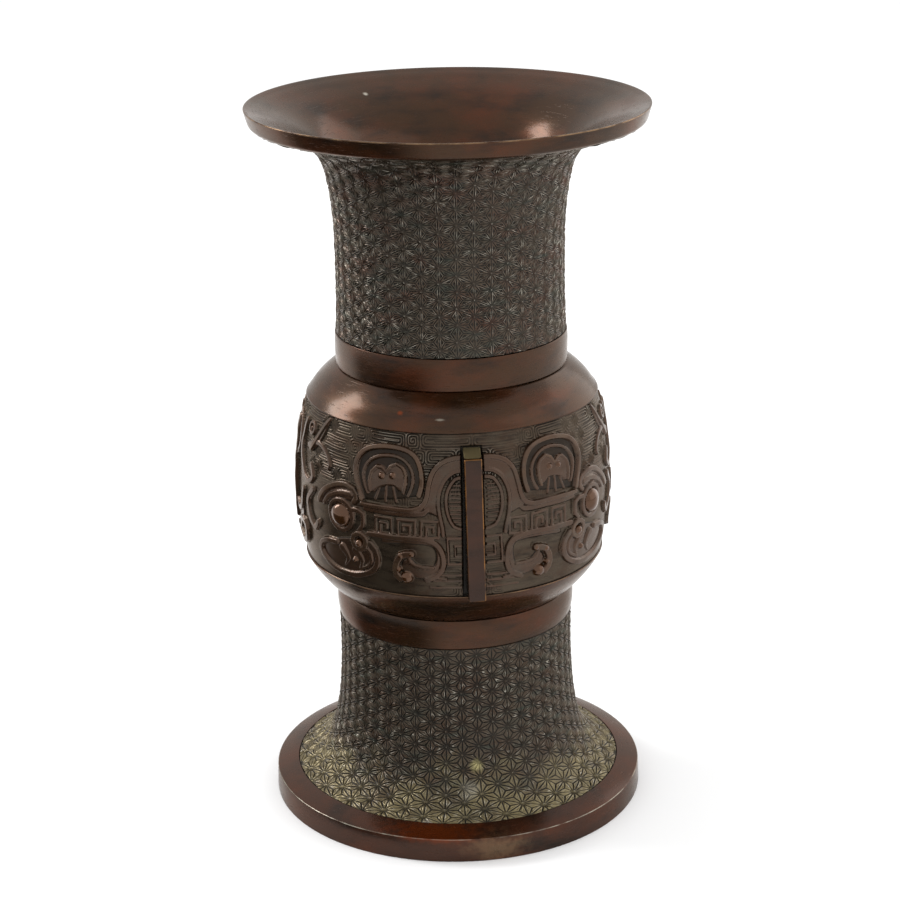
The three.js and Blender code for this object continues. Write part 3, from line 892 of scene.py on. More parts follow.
@dataclass(frozen=True)
class Stroke:
    """One form of the mask's relief, on a sheet from the middle of a flange to the middle of the mask."""

    points: tuple[Point, ...]
    width: float
    height: float
    edge: Edge = Edge.BEAD
    straight: bool = False
    # Part of the width that is lost by the stroke's end
    taper: float = 0.0

    # Distance past its points at which a stroke still counts, and between the points of its curve
    MARGIN = 4.0
    STEP = 2.0
    # How much wider than the stroke its rounding is, and the part of the taper that its height follows
    FLANK = 1.25
    SINK = 0.4

    def line(self) -> np.ndarray:
        """Returns the points of the stroke's middle line, or of the closed line about a plate."""
        closed = self.edge is Edge.PLATE
        if not self.straight:
            return smooth_line(list(self.points), self.STEP, closed)
        return np.array(self.points + self.points[:1] if closed else self.points, float)

    def over(self, across: np.ndarray, up: np.ndarray) -> np.ndarray:
        """Gives the stroke's height in millimetres over the ground.

        Args:
            across: Place round from the flange.
            up: Place over the band's foot.

        Returns:
            The height, 0 outside the stroke.
        """
        if self.edge is Edge.BALL:
            x, y = self.points[0]
            away = np.hypot(across - x, up - y) / self.width
            return self.height * np.sqrt(np.clip(1 - away**2, 0, 1))
        closed = self.edge is Edge.PLATE
        line = self.line()
        (left, low), (right, high) = line.min(axis=0) - self.MARGIN, line.max(axis=0) + self.MARGIN
        near = (across > left) & (across < right) & (up > low) & (up < high)
        result = np.zeros_like(across)
        x, y = across[near], up[near]
        away = np.full(x.shape, np.inf)
        part = np.zeros(x.shape)
        within = np.zeros(x.shape, bool)
        count = len(line) - 1
        for i, ((ax, ay), (bx, by)) in enumerate(zip(line, line[1:])):
            dx, dy = bx - ax, by - ay
            t = np.clip(((x - ax) * dx + (y - ay) * dy) / (dx * dx + dy * dy + 1e-12), 0, 1)
            distance = np.hypot(x - ax - t * dx, y - ay - t * dy)
            closer = distance < away
            away = np.where(closer, distance, away)
            part = np.where(closer, (i + t) / count, part)
            if closed:
                crosses = (ay > y) != (by > y)
                within ^= crosses & (x < (bx - ax) * (y - ay) / (by - ay + 1e-12) + ax)
        if closed:
            result[near] = self.height * ease(np.where(within, away, -away) / self.width + 0.5)
            return result
        width = self.width * (1 - self.taper * part)
        rise = np.sqrt(np.clip(1 - (away / (width * self.FLANK)) ** 2, 0, 1))
        result[near] = self.height * ease(rise * self.FLANK) * (1 - self.SINK * self.taper * part)
        return result


# Points that draw a small ring
RING_SIDES = 10
# Corners of a square spiral of one and a half turns, in its own size, with the width and height of its line
KEY_CORNERS = (
    (0.5, -0.5), (0.5, 0.5), (-0.5, 0.5), (-0.5, -0.5), (0.2, -0.5), (0.2, 0.17), (-0.2, 0.17), (-0.2, -0.15),
)
KEY_WIDTH = 0.62
KEY_HEIGHT = 0.9


def ball(x: float, y: float, radius: float, height: float) -> Stroke:
    """Returns a round boss at a place on the sheet."""
    return Stroke(((x, y),), radius, height, Edge.BALL)


def plate(points: tuple, height: float, width: float = 1.2, straight: bool = False) -> Stroke:
    """Returns a raised level inside a closed line."""
    return Stroke(points, width, height, Edge.PLATE, straight)


def ring(x: float, y: float, radius: float, width: float, height: float) -> Stroke:
    """Returns a small ring about a place on the sheet."""
    turns = [TURN * i / RING_SIDES for i in range(RING_SIDES + 1)]
    return Stroke(tuple((x + radius * math.cos(t), y + radius * math.sin(t)) for t in turns), width, height)


def square_key(x: float, y: float, size: float, hand: int) -> Stroke:
    """Returns a square spiral whose outer end lies at the right with hand 1 and at the left with hand -1."""
    corners = tuple((x + hand * size * a, y + size * b) for a, b in KEY_CORNERS)
    return Stroke(corners, KEY_WIDTH, KEY_HEIGHT, straight=True)


@dataclass
class MaskBand:
    """The sunk band of the drum with its two masks, their ground and the seats of the flanges."""

    # From the middle of a flange to the middle of a mask, and from the band's foot to its head
    width: float = 122.5
    height: float = 82.6
    # Half the width of a flange's seat, what it is wider by at the flange's left, and its head
    seat: float = 4.9
    seat_gap: float = 1.3
    seat_head: float = 77.0
    ground: KeyGround = field(default_factory=KeyGround)

    # Lines of half a mask, as distance from the flange's middle and height over the band's foot
    HORN = (
        (26.4, 52.8), (25.2, 57.1), (25, 62), (25.9, 66.3), (28.1, 70.9), (31.5, 73.8), (36.5, 75.2),
        (42.2, 75.4), (48.6, 74.7), (53.9, 73), (58.2, 69.4), (59.9, 64.9), (59.9, 60), (58.9, 55.3),
        (57.5, 51.5), (56.3, 48),
    )
    HORN_INNER = (
        (31.8, 52.4), (29.9, 56.7), (29.4, 61.1), (30.6, 65.4), (33.4, 68.8), (37.3, 70.8), (42.2, 71.2),
        (47.5, 70.3), (52.1, 67.9), (54.7, 64.5), (55.7, 60.3), (55, 55.9), (53.1, 51.7),
    )
    HEART = (
        (51.2, 53.1), (52, 57.7), (50.9, 62.7), (48.1, 65.5), (45.2, 65.2), (42.9, 62.8), (40.8, 66.1),
        (37.7, 67.5), (34.7, 65.9), (33, 62.1), (33.1, 57.6), (34.1, 53.7), (36.4, 54.6), (38.7, 56.5),
        (43.1, 56.4), (47.2, 54.7), (49.5, 52.3),
    )
    TONGUE = (((46.8, 54.6), (48.8, 49)), ((43, 56), (43.4, 48.6)), ((39.4, 55.6), (38, 49)))
    SILL = ((55.5, 44.6), (56, 42.2), (40, 42), (24, 43), (21.5, 47.5), (25.5, 45.4), (40, 44.6))
    EAR = (
        (56.1, 45.4), (50.9, 45.3), (45.6, 45.5), (39.5, 45.6), (33.7, 45.5), (29.3, 45.8), (25.8, 47),
        (23.6, 49.4), (22.5, 52.7), (21.9, 56.8), (21.1, 60.9), (19.5, 65.1), (15.7, 69.1), (10.1, 71.2),
        (5.3, 71.5),
    )
    EAR_INNER = (
        (5.4, 65.4), (9.7, 64.6), (13.8, 61.5), (16.2, 56), (17, 49), (16.6, 42.5), (15.4, 37), (15, 33.5),
    )
    EAR_FIELD = (*EAR[6:], *EAR_INNER[:6], (20, 44))
    PANEL = ((5.2, 62), (9.4, 61), (12.4, 56), (13.2, 49), (12.6, 43), (10, 38), (5.2, 36.4))
    BROW = (
        (85.3, 40.7), (83.4, 44.3), (79.7, 47.9), (74.9, 51), (70, 52.7), (65.3, 52.8), (61.7, 51.6),
        (59.9, 49.5), (59.8, 47), (61.4, 45),
    )
    BROW_INNER = ((81, 40.6), (77.9, 44.2), (73.7, 46.9), (68.7, 48.5), (63.3, 48.4))
    BROW_FIELD = (
        (85, 38.5), (83, 44), (79.5, 47.6), (73, 51.6), (65, 52.4), (60.5, 48.5), (64, 45), (70, 46),
        (77, 42),
    )
    EYE_HOOK = ((64.2, 40.8), (58.6, 41.2), (56, 40.2), (55.8, 34.2), (58, 31.6))
    SCROLL = (
        (52.3, 30.5), (45.5, 30.8), (38.6, 30.8), (30.8, 31.1), (23.2, 30.9), (18.8, 29), (16.3, 25.4),
        (15.3, 20.6), (15.9, 15.7), (18.6, 11.8), (23.5, 9.5),
    )
    SCROLL_FIELD = (
        *SCROLL[1:], (31, 11), (36, 14), (35, 19), (31, 20), (28, 17), (20, 17), (20, 27), (34, 28), (46, 27),
    )
    SCROLL_INNER = ((32.4, 20.5), (31.7, 18.3), (29.3, 16.8), (24.9, 16), (20.5, 16.2))
    SCROLL_HOOK = (
        (30.7, 23), (33.4, 22.7), (36.3, 21.5), (38.2, 18.3), (39, 14.6), (38.5, 11.5), (36.6, 9.4),
    )
    JAW = (
        (51.8, 25.6), (49.2, 22.6), (48.1, 18.8), (49.2, 14.5), (52.5, 10.9), (57.8, 7.9), (64.9, 6.3),
        (74.4, 6.5), (82.9, 9.4), (87, 13.5), (85.6, 18), (80, 20.9), (73.4, 21.7),
    )
    JAW_INNER = ((54.5, 23.1), (52.1, 20.1), (51.9, 16.5), (54.2, 13.1), (58.8, 10.5))
    JAW_FIELD = (*JAW[:12], (64, 26))
    FANGS = (((61, 20.5), (57.4, 15.5), (59.4, 10.5)), ((69.5, 20), (66.2, 15), (69, 10.2)))
    CHEEK = ((93, 43), (98.5, 36), (97, 28), (91, 24), (88, 28))
    CREST = ((96.9, 63.2), (90.9, 70.4), (86.6, 75.6), (81.4, 81.2))
    CREST_FIELD = ((98, 61.5), (95, 69), (88, 77.5), (82.5, 81.8), (84, 76), (90, 67))
    CREST_LEAF = ((99.9, 64), (92.7, 67.3), (85.7, 66.5), (80.9, 63.4), (78.7, 59.4), (79.6, 57.5))
    CREST_SCROLL = ((107, 75), (110, 63), (106, 51), (98, 46), (93, 50), (96, 55))
    NOSTRIL = ((118, 14.5), (111, 11), (104.5, 14), (104, 21), (110, 23), (112.5, 18.5))
    SNOUT = ((122.5, 30), (114, 27), (108, 31), (105, 40))
    SNOUT_FIELD = ((108, 31), (116, 28), (124, 30), (124, 18), (114, 16), (108, 22))
    FOREHEAD = ((122.5, 76), (116.5, 70), (114.5, 60), (122.5, 52))

    # Cell counts of the wavers, how far the forms stray, and how much their height varies
    BROAD, FINE, WEAR = (40, 8), (80, 16), (24, 6)
    STRAY = 0.35
    UNEVEN = 0.12
    # How far the band's outermost edge is cut in
    EDGE_DEPTH = 0.15
    # Relief that the bosses have, which leaves them neither cut in nor rubbed
    BOSS_LOOK = 0.2

    def forms(self) -> list[Stroke]:
        """Returns every raised form between a flange and the middle of the mask."""
        return [*self.horn(), *self.eye(), *self.ear(), *self.scroll(), *self.jaw(), *self.middle()]

    def horn(self) -> list[Stroke]:
        """Returns the curled horn with the two-lobed plate inside it."""
        return [
            plate(self.HORN, 0.35),
            Stroke(self.HORN, 1.1, 2.1),
            Stroke(self.HORN_INNER, 0.75, 1.5),
            plate(self.HEART, 1.3, 0.9),
            Stroke(self.HEART[:12], 0.7, 2.0),
            ball(45.4, 61.3, 1.9, 2.7),
            ball(39.6, 61.6, 1.9, 2.7),
            *[Stroke(ray, 0.55, 0.8, straight=True) for ray in self.TONGUE],
            plate(self.SILL, 1.0, 1.0),
        ]

    def eye(self) -> list[Stroke]:
        """Returns the brow, the eye and the small keys behind it."""
        return [
            plate(self.BROW_FIELD, 0.9),
            Stroke(self.BROW, 1.5, 2.0, taper=0.25),
            Stroke(self.BROW_INNER, 1.2, 1.7),
            ring(69.7, 36.8, 7.6, 1.1, 1.5),
            ball(69.7, 36.8, 6.0, 4.2),
            Stroke(self.EYE_HOOK, 1.0, 1.5),
            ring(57.9, 25.9, 4.1, 1.2, 2.0),
            ball(58.2, 24.9, 2.4, 3.0),
            *[square_key(x, 36.1, 8.4, hand) for x, hand in ((44.6, 1), (32.9, -1), (21.4, 1))],
        ]

    def ear(self) -> list[Stroke]:
        """Returns the ear that curls down from the bar, with its panel and the keys under it."""
        rungs = [Stroke(((6.2, y), (11.6, y)), 0.36, 0.6, straight=True) for y in np.arange(40, 60, 2.0)]
        ends = ((12, 21), (9, 24.5), (5.4, 22))
        bars = [Stroke(((5.6, y), (end, y)), 0.5, 0.95, straight=True) for y, end in ends]
        return [
            plate(self.EAR_FIELD, 0.8),
            Stroke(self.EAR, 1.1, 1.8),
            Stroke(self.EAR_INNER, 0.9, 1.4),
            Stroke(self.PANEL, 0.8, 1.3),
            *rungs,
            Stroke(((5.6, 32), (13, 32), (13, 18.5), (5.6, 18.5)), 0.6, 1.1, straight=True),
            Stroke(((5.6, 28), (9.6, 28), (9.6, 22.5), (5.6, 22.5)), 0.5, 1.0, straight=True),
            *bars,
            Stroke(((19.5, 10.8), (13.9, 10)), 0.6, 1.4, straight=True),
        ]

    def scroll(self) -> list[Stroke]:
        """Returns the scroll under the keys, with its hook and bosses."""
        return [
            plate(self.SCROLL_FIELD, 0.6),
            Stroke(self.SCROLL, 1.3, 1.6),
            Stroke(self.SCROLL_INNER, 0.8, 1.5),
            Stroke(self.SCROLL_HOOK, 1.5, 2.2),
            ball(33.4, 10.2, 3.2, 3.2),
            ball(37.2, 14.5, 1.5, 2.7),
            ball(36.2, 21.6, 1.9, 2.7),
            ball(30.7, 22.8, 1.9, 2.6),
        ]

    def jaw(self) -> list[Stroke]:
        """Returns the jaw with its fangs and the cheek."""
        return [
            plate(self.JAW_FIELD, 0.5),
            Stroke(self.JAW, 1.3, 1.7),
            Stroke(self.JAW_INNER, 0.8, 1.2),
            *[Stroke(fang, 1.9, 1.6, taper=0.8) for fang in self.FANGS],
            ball(61.7, 15.1, 1.6, 2.4),
            Stroke(self.CHEEK, 1.4, 1.5),
        ]

    def middle(self) -> list[Stroke]:
        """Returns the crest, the snout and the ridge at the middle of the mask."""
        return [
            plate(self.CREST_FIELD, 0.9),
            Stroke(self.CREST, 1.4, 2.0, taper=0.7),
            Stroke(self.CREST_LEAF, 1.3, 1.6, taper=0.5),
            Stroke(self.CREST_SCROLL, 1.2, 1.5),
            ring(98.5, 73, 2.9, 0.8, 1.5),
            ball(98.5, 73, 1.2, 1.6),
            Stroke(self.NOSTRIL, 1.5, 1.9),
            Stroke(self.SNOUT, 1.3, 1.6),
            plate(self.SNOUT_FIELD, 0.9),
            Stroke(self.FOREHEAD, 1.0, 1.5),
            Stroke(((122.5, 71), (122.5, 22)), 2.6, 2.3, straight=True),
        ]

    def relief(self, angle: np.ndarray, up: np.ndarray) -> Lift:
        """Shapes the band.

        Args:
            angle: Angle round the vase from +X.
            up: Height over the band's foot.

        Returns:
            Height over the ground, what is cut in or rubbed, and which parts are forms and bosses.
        """
        turn, tall = angle / TURN, up / self.height
        quarter = np.mod(turn * 4 + 1, 2)
        across = self.width * (1 - np.abs(1 - quarter))
        drift, rise = (Grain(seed, *self.BROAD).at(turn, tall) * self.STRAY for seed in (5, 6))
        x, y = across + drift, up + rise
        forms, bosses = np.zeros_like(x), np.zeros_like(x)
        for form in self.forms():
            height = form.over(x, y)
            forms = np.maximum(forms, height)
            if form.edge is Edge.BALL:
                bosses = np.maximum(bosses, height)
        wear = ease(Grain(7, *self.WEAR).at(turn, tall) * 0.9 + 0.6)
        # The key ground is crisp over the horns, shallow between the forms and level about the scroll
        upper = ease((up - 30) / 34)
        side = ease((17 - across) / 4) * (1 - ease((up - 20) / 20))
        depth = self.ground.depth * np.maximum(upper * (0.4 + 0.6 * wear), 0.4 * side)
        depth *= 0.3 + 0.7 * ease((up - 40) / 26) + side
        lines = self.ground.height(x, y) * np.minimum(depth, self.ground.depth)
        clear = 1 - ease(forms / 0.35)
        height = forms * (1 + self.UNEVEN * Grain(8, *self.FINE).at(turn, tall)) + lines * clear
        # The higher a form stands, the more it is rubbed and painted with a highlight, and dirt with painted
        # shade lies in the corner about it; the ground's lines are painted pale as highlights and its gaps
        # dark with dirt and shade
        shade = 0.08 + 0.5 * ease((forms - 0.9) / 1.1) + 0.25 * ease((forms - 2.1) / 0.7)
        corner = ease(forms / 0.12) * (1 - ease((forms - 0.25) / 0.4))
        shade = np.where(forms > 0.3, shade, lines / self.ground.depth * 0.85) - corner * 0.7
        # The band's edges are cut in and painted dark: painted shade along both edges, against the shoulders
        edge = ease(np.minimum(up, self.height - up) / 0.8)
        height = height * edge - self.EDGE_DEPTH * (1 - edge)
        shade = shade * edge - (1 - edge)
        # Each flange's seat is cut in and painted dark as painted shade in the corner beside the bar, wider
        # at the bar's left
        seat_edge = self.seat + np.where(quarter > 1, self.seat_gap, 0)
        seat = ease((seat_edge - across) / 0.5) * ease((self.seat_head - up) / 0.8)
        tone = 0.5 * ease((forms - 0.15) / 0.4) + 0.5 * ease(bosses / 0.6) * (bosses > forms - 0.05)
        shade = np.where(tone > 0.6, self.BOSS_LOOK, shade)
        return Lift(height * (1 - seat) - seat, shade * (1 - seat) - seat, tone * (1 - seat))


@dataclass(frozen=True)
class Seat:
    """Where a CAD node stands: its lowest and highest levels and its outer radius. Millimetres."""

    low: float
    high: float
    radius: float

    @classmethod
    def of(cls, node: str) -> "Seat":
        """Returns the place of a CAD node."""
        low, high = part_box(node)
        return cls(low.z / MM, high.z / MM, high.x / MM)


def hand_finish(seed: int, amount: float = 0.06) -> Shape:
    """Gives a turned face the faint waver of hand finishing.

    Args:
        seed: Makes one piece differ from another.
        amount: Height of the waver in millimetres.

    Returns:
        A function of angle and distance that gives the lift.
    """
    broad = Grain(seed, 14, 5)

    def lift(angle: np.ndarray, distance: np.ndarray) -> Lift:
        """Returns the waver."""
        return Lift.plain(broad.at(angle / TURN, distance / float(distance.max())) * amount)

    return lift


def rubbed_sheen_line(at: float, width: float) -> Shape:
    """Gives a turned face a pale line: a painted highlight along an edge.

    Args:
        at: Distance of the line along the profile.
        width: Millimetres over which the line fades.

    Returns:
        A function of angle and distance that gives the lift.
    """

    def lift(angle: np.ndarray, distance: np.ndarray) -> Lift:
        """Returns no height, and a relief that is 1 on the line."""
        return Lift.plain(np.zeros_like(angle), ease(1.3 - np.abs(distance - at) / width))

    return lift


@dataclass
class Collar:
    """A plain band over a lap, a little fuller at its middle."""

    name: str
    node: str
    wall: float
    swell: float
    # Rounding of its edges, and the length between the points of its face
    edge: float = 0.45
    step: float = 0.4
    columns: int = 256

    # Part of the CAD's swell that is made
    SHY = 0.97

    def build(self) -> bpy.types.Object:
        """Makes the band.

        Returns:
            Its object.
        """
        seat = Seat.of(self.node)
        outer = seat.radius - self.swell
        inner = outer - self.wall
        foot, head = (inner, seat.low), (inner, seat.high)
        middle = (outer, (seat.low + seat.high) / 2)
        face = rounded((outer, seat.low), foot, middle, self.edge)
        face += rounded((outer, seat.high), middle, head, self.edge)
        low, high = min(z for _, z in face), max(z for _, z in face)
        face = smooth_line(face, self.step)
        part = np.clip((face[:, 1] - low) / (high - low), 0, 1)
        face[:, 0] += self.swell * 4 * part * (1 - part) * self.SHY
        profile = Profile(np.vstack([[foot], face, [head], [foot]]))
        skin = Skin(profile.length)
        skin.sheet(profile, 0, self.columns, hand_finish(len(self.name)))
        piece = skin.piece(self.name, self.node)
        dress(piece, POLISHED)
        return piece


@dataclass
class Neck:
    """The neck with its diaper, its lip and the smooth throat of the trumpet mouth."""

    mouth: float = 98.7
    lip_foot: float = 96.5
    lip_height: float = 7.6
    # Roundings of the lip's lower and upper edge, and where its pale line of painted highlight is and how
    # wide
    edges: Point = (1.0, 0.9)
    rubbed_sheen: Point = (1.4, 0.6)
    bore: float = 51.6
    spigot_wall: float = 2.6
    diaper: HempLeafDiaper = field(default_factory=lambda: HempLeafDiaper(42, risen=0.5, seed=21))
    columns: int = 336

    # Face of the neck and the throat, as radius and depth under the mouth
    FACE = (
        (57.2, 112.2), (56.7, 104), (56.35, 92), (56.28, 80), (56.35, 68), (56.6, 58), (57.6, 46), (59.6, 34),
        (62.6, 25), (67.5, 19), (75.5, 14), (85, 10.6), (95, 8.6),
    )
    THROAT = (
        (97.2, 0.3), (95.4, 1.0), (89, 3.3), (76, 9.6), (64.5, 19.5), (56.8, 33), (53, 50), (51.8, 68),
        (51.6, 84),
    )
    # How far inside the face and over the lip's foot the smooth bronze starts
    SMOOTH_DEPTH = 1.2
    SMOOTH_LIP = 0.6

    def build(self) -> bpy.types.Object:
        """Makes the neck.

        Returns:
            Its object.
        """
        seat = Seat.of("neck")
        top = seat.high
        face = smooth_line([(r, top - d) for r, d in self.FACE], 1.0)
        throat = smooth_line([(r, top - d) for r, d in self.THROAT], 1.5)
        foot = (self.lip_foot, top - self.lip_height)
        crown = (self.mouth, top)
        brim, brink = tuple(face[-1]), tuple(throat[0])
        lower_edge, upper_edge = self.edges
        lip = [brim, *rounded(foot, brim, crown, lower_edge), *rounded(crown, foot, brink, upper_edge), brink]
        spigot = self.bore + self.spigot_wall
        shoulder = (spigot, Seat.of("upper_collar").high + GAP)
        tail = [(self.bore, seat.low), (spigot, seat.low), shoulder, tuple(face[0])]
        face, lip, rest = (Profile(line) for line in (face, lip, np.vstack([throat, tail])))
        skin = Skin(face.length + lip.length + rest.length)
        self.diaper.cover(skin, face, 0, Grain(31, 16, 9))
        rubbed_sheen, width = self.rubbed_sheen
        skin.sheet(lip, face.length, self.columns, rubbed_sheen_line(lip.length - rubbed_sheen, width))
        skin.sheet(rest, face.length + lip.length, self.columns)
        piece = skin.piece("neck_and_mouth", "neck")
        dress(piece, CHASED, POLISHED, split=lambda mesh: self.smooth_faces(mesh, top))
        return piece

    def smooth_faces(self, mesh: bpy.types.Mesh, top: float) -> np.ndarray:
        """Finds the faces that aren't chased.

        Args:
            mesh: The neck's faces.
            top: Level of the mouth.

        Returns:
            True for each smooth face.
        """
        centres = face_centres(mesh) / MM
        radius = np.hypot(centres[:, 0], centres[:, 1])
        levels = [(top - d, r) for r, d in self.FACE]
        outside = np.interp(centres[:, 2], *zip(*levels))
        on_lip = centres[:, 2] > top - self.lip_height - self.SMOOTH_LIP
        return (radius < outside - self.SMOOTH_DEPTH) | on_lip


@dataclass
class Foot:
    """The flared foot with its diaper, and the plain hollow under it."""

    rim: float = 83.7
    seat_width: float = 6.6
    wall: float = 3.8
    # How far the spigot in the collar stands back, its wall, and the level under the floor disc
    lap: float = 3.7
    spigot_wall: float = 3.4
    floor: float = 94.6
    diaper: HempLeafDiaper = field(
        default_factory=lambda: HempLeafDiaper(48, turned=0.32, steps=FULL, middle=-0.5, seed=22)
    )
    columns: int = 288

    # Face of the foot, as radius and height
    FACE = (
        (83.7, 14.9), (78.5, 17.3), (72.5, 21.4), (67.6, 27), (64.6, 33.5), (62.9, 40), (61.4, 48),
        (60.3, 58), (59.6, 70), (59.3, 82), (59.45, 98),
    )
    # How far the hollow lies in and under the face, in walls, below the flare and in the stem
    FLARE_WALL = (0.55, 0.85)
    STEM_WALL = (1, 0.4)

    def build(self) -> bpy.types.Object:
        """Makes the foot.

        Returns:
            Its object.
        """
        seat = Seat.of("foot")
        face = smooth_line(list(self.FACE), 1.0)
        hollow = [
            (r - self.wall * back, z - self.wall * down)
            for part, (back, down) in ((self.FACE[1:3], self.FLARE_WALL), (self.FACE[3:-1], self.STEM_WALL))
            for r, z in part
        ]
        lap = face[-1][0] - self.lap
        bore = lap - self.spigot_wall
        tail = [(lap, self.FACE[-1][1]), (lap, seat.high), (bore, seat.high), (bore, self.floor)]
        tail += [*reversed(hollow), (self.rim - self.seat_width, seat.low), (self.rim, seat.low)]
        face, rest = Profile(face), Profile(np.vstack([face[-1:], tail, face[:1]]))
        skin = Skin(face.length + rest.length)
        self.diaper.cover(skin, face, 0, Grain(33, 14, 6))
        skin.sheet(rest, face.length, self.columns)
        piece = skin.piece("flared_foot", "foot")
        dress(piece, CHASED_GREEN)
        return piece


@dataclass
class BaseRing:
    """The heavy ring under the foot."""

    tread: float = 7.0
    draft: float = 0.4
    side: float = 12.0
    ledge_width: float = 4.5
    ledge_thickness: float = 4.0
    # Roundings of the tread, the arris and the brink, and the width of the arris's pale line of painted
    # highlight
    edges: tuple[float, float, float] = (0.6, 0.5, 0.35)
    rubbed_sheen: float = 0.35
    columns: int = 288

    def build(self) -> bpy.types.Object:
        """Makes the ring.

        Returns:
            Its object.
        """
        seat, foot = Seat.of("base_ring"), Seat.of("foot")
        bore, ledge = foot.radius + GAP, foot.low - GAP
        under, shelf = ledge - self.ledge_thickness, bore - self.ledge_width
        outer, arris = (seat.radius, seat.low), (seat.radius - self.draft, self.side)
        brink, inner = (bore, seat.high), (seat.radius - self.tread, seat.low)
        hollow = [(bore, ledge), (shelf, ledge), (shelf, under), (inner[0], under)]
        turns = ((outer, inner, arris), (arris, outer, brink), (brink, arris, hollow[0]))
        outline = [point for turn, radius in zip(turns, self.edges) for point in rounded(*turn, radius)]
        profile = Profile([*outline, *hollow, inner, outline[0]])
        skin = Skin(profile.length)
        at = profile.reach[np.argmin(np.hypot(*(profile.points - np.array(arris)).T))]
        skin.sheet(profile, 0, self.columns, rubbed_sheen_line(float(at), self.rubbed_sheen))
        piece = skin.piece("heavy_ring", "base_ring")
        dress(piece, RING)
        return piece


@dataclass
class Drum:
    """The swelling drum: plain shoulders, the sunk band with its masks, and a smooth hollow."""

    wall: float = 4.4
    band_foot: float = 133.0
    # Radius of the band's ground at its foot, middle and head
    ground: tuple[float, float, float] = (75.0, 78.3, 72.3)
    # Bore and outer radius of the spigots in the lower and the upper collar
    low_spigot: Point = (52.4, 55.8)
    high_spigot: Point = (51.6, 54.2)
    # Where the pale line of painted highlight on the brim under the band lies, back from its end, and how
    # wide
    rubbed_sheen: Point = (0.8, 0.6)
    band: MaskBand = field(default_factory=MaskBand)
    rows: int = 269
    columns: int = 1632
    plain_columns: int = 204

    # Faces of the shoulders, as radius and height over the lower collar and over the band
    LOWER = ((59.6, 0.3), (63.4, 3.2), (68.4, 8.6), (72.8, 14.4), (75.5, 19.0), (75.8, 19.5))
    UPPER = ((73.2, 0.0), (72.8, 0.6), (71.6, 2.1), (68.0, 6.9), (63.2, 11.5), (58.0, 15.4))

    def band_radius(self, up: np.ndarray) -> np.ndarray:
        """Returns the radius of the band's ground at a height over its foot."""
        t = np.clip(up / self.band.height, 0, 1)
        low, middle, high = self.ground
        return low * (1 - t) * (1 - 2 * t) + middle * 4 * t * (1 - t) + high * t * (2 * t - 1)

    def build(self) -> bpy.types.Object:
        """Makes the drum.

        Returns:
            Its object.
        """
        seat, foot, head = Seat.of("drum"), Seat.of("lower_collar").high, Seat.of("upper_collar").low - GAP
        band_head = self.band_foot + self.band.height
        lower = smooth_line([(r, foot + z) for r, z in self.LOWER], 0.8)
        upper = smooth_line([(r, band_head + z) for r, z in self.UPPER], 0.8)
        up = np.linspace(0, self.band.height, self.rows)
        band = np.column_stack([self.band_radius(up), self.band_foot + up])
        rest = np.vstack([upper[-1:], self.hidden(band, seat, foot, head), lower[:1]])
        lower, upper = np.vstack([lower, band[:1]]), np.vstack([band[-1:], upper])
        lower, band, upper, rest = (Profile(line) for line in (lower, band, upper, rest))
        rubbed_sheen, width = self.rubbed_sheen
        brim = rubbed_sheen_line(lower.length - rubbed_sheen, width)
        sheets = (
            (lower, self.plain_columns, brim),
            (band, self.columns, self.band_lift(band)),
            (upper, self.plain_columns, None),
            (rest, self.plain_columns, None),
        )
        skin = Skin(sum(profile.length for profile, _, _ in sheets))
        start = 0.0
        for profile, columns, shape in sheets:
            skin.sheet(profile, start, columns, shape)
            start += profile.length
        piece = skin.piece("drum_with_masks", "drum")
        band_range = (self.band_foot + 0.05, band_head - 0.05)
        dress(piece, POLISHED, RELIEF, split=lambda mesh: self.band_faces(mesh, band_range))
        return piece

    def hidden(self, band: np.ndarray, seat: Seat, foot: float, head: float) -> Line:
        """Lists the outline that the collars cover and the hollow inside.

        Args:
            band: Radius and height of the band's ground, from its foot up.
            seat: The drum's place.
            foot: Level of the lower collar's top.
            head: Level of the upper shoulder's end.

        Returns:
            Its points, from the upper spigot down to the lower one.
        """
        (low_bore, low_lap), (high_bore, high_lap) = self.low_spigot, self.high_spigot
        walls = ((63.2, head - 5.5), (71.6, band[-1, 1] + 3), *band[::-40], (68.4, foot + 11))
        return [
            (high_lap, head), (high_lap, seat.high), (high_bore, seat.high), (high_bore, head - self.wall),
            *[(r - self.wall, z) for r, z in walls],
            (low_bore, foot), (low_bore, seat.low), (low_lap, seat.low), (low_lap, foot + GAP),
        ]

    def band_lift(self, profile: Profile) -> Shape:
        """Returns the function that shapes the band, by distance along its profile."""

        def lift(angle: np.ndarray, distance: np.ndarray) -> Lift:
            """Returns the band's relief, with its own edges left level."""
            up = np.interp(distance, profile.reach, profile.points[:, 1]) - self.band_foot
            relief = self.band.relief(angle, up)
            relief.height[(distance <= 0) | (distance >= profile.length)] = 0
            return relief

        return lift

    def band_faces(self, mesh: bpy.types.Mesh, levels: tuple[float, float]) -> np.ndarray:
        """Returns True for each face on the band's outside."""
        centres = face_centres(mesh) / MM
        radius = np.hypot(centres[:, 0], centres[:, 1])
        outside = radius > self.band_radius(centres[:, 2] - self.band_foot) - self.wall / 2
        return outside & (centres[:, 2] > levels[0]) & (centres[:, 2] < levels[1])


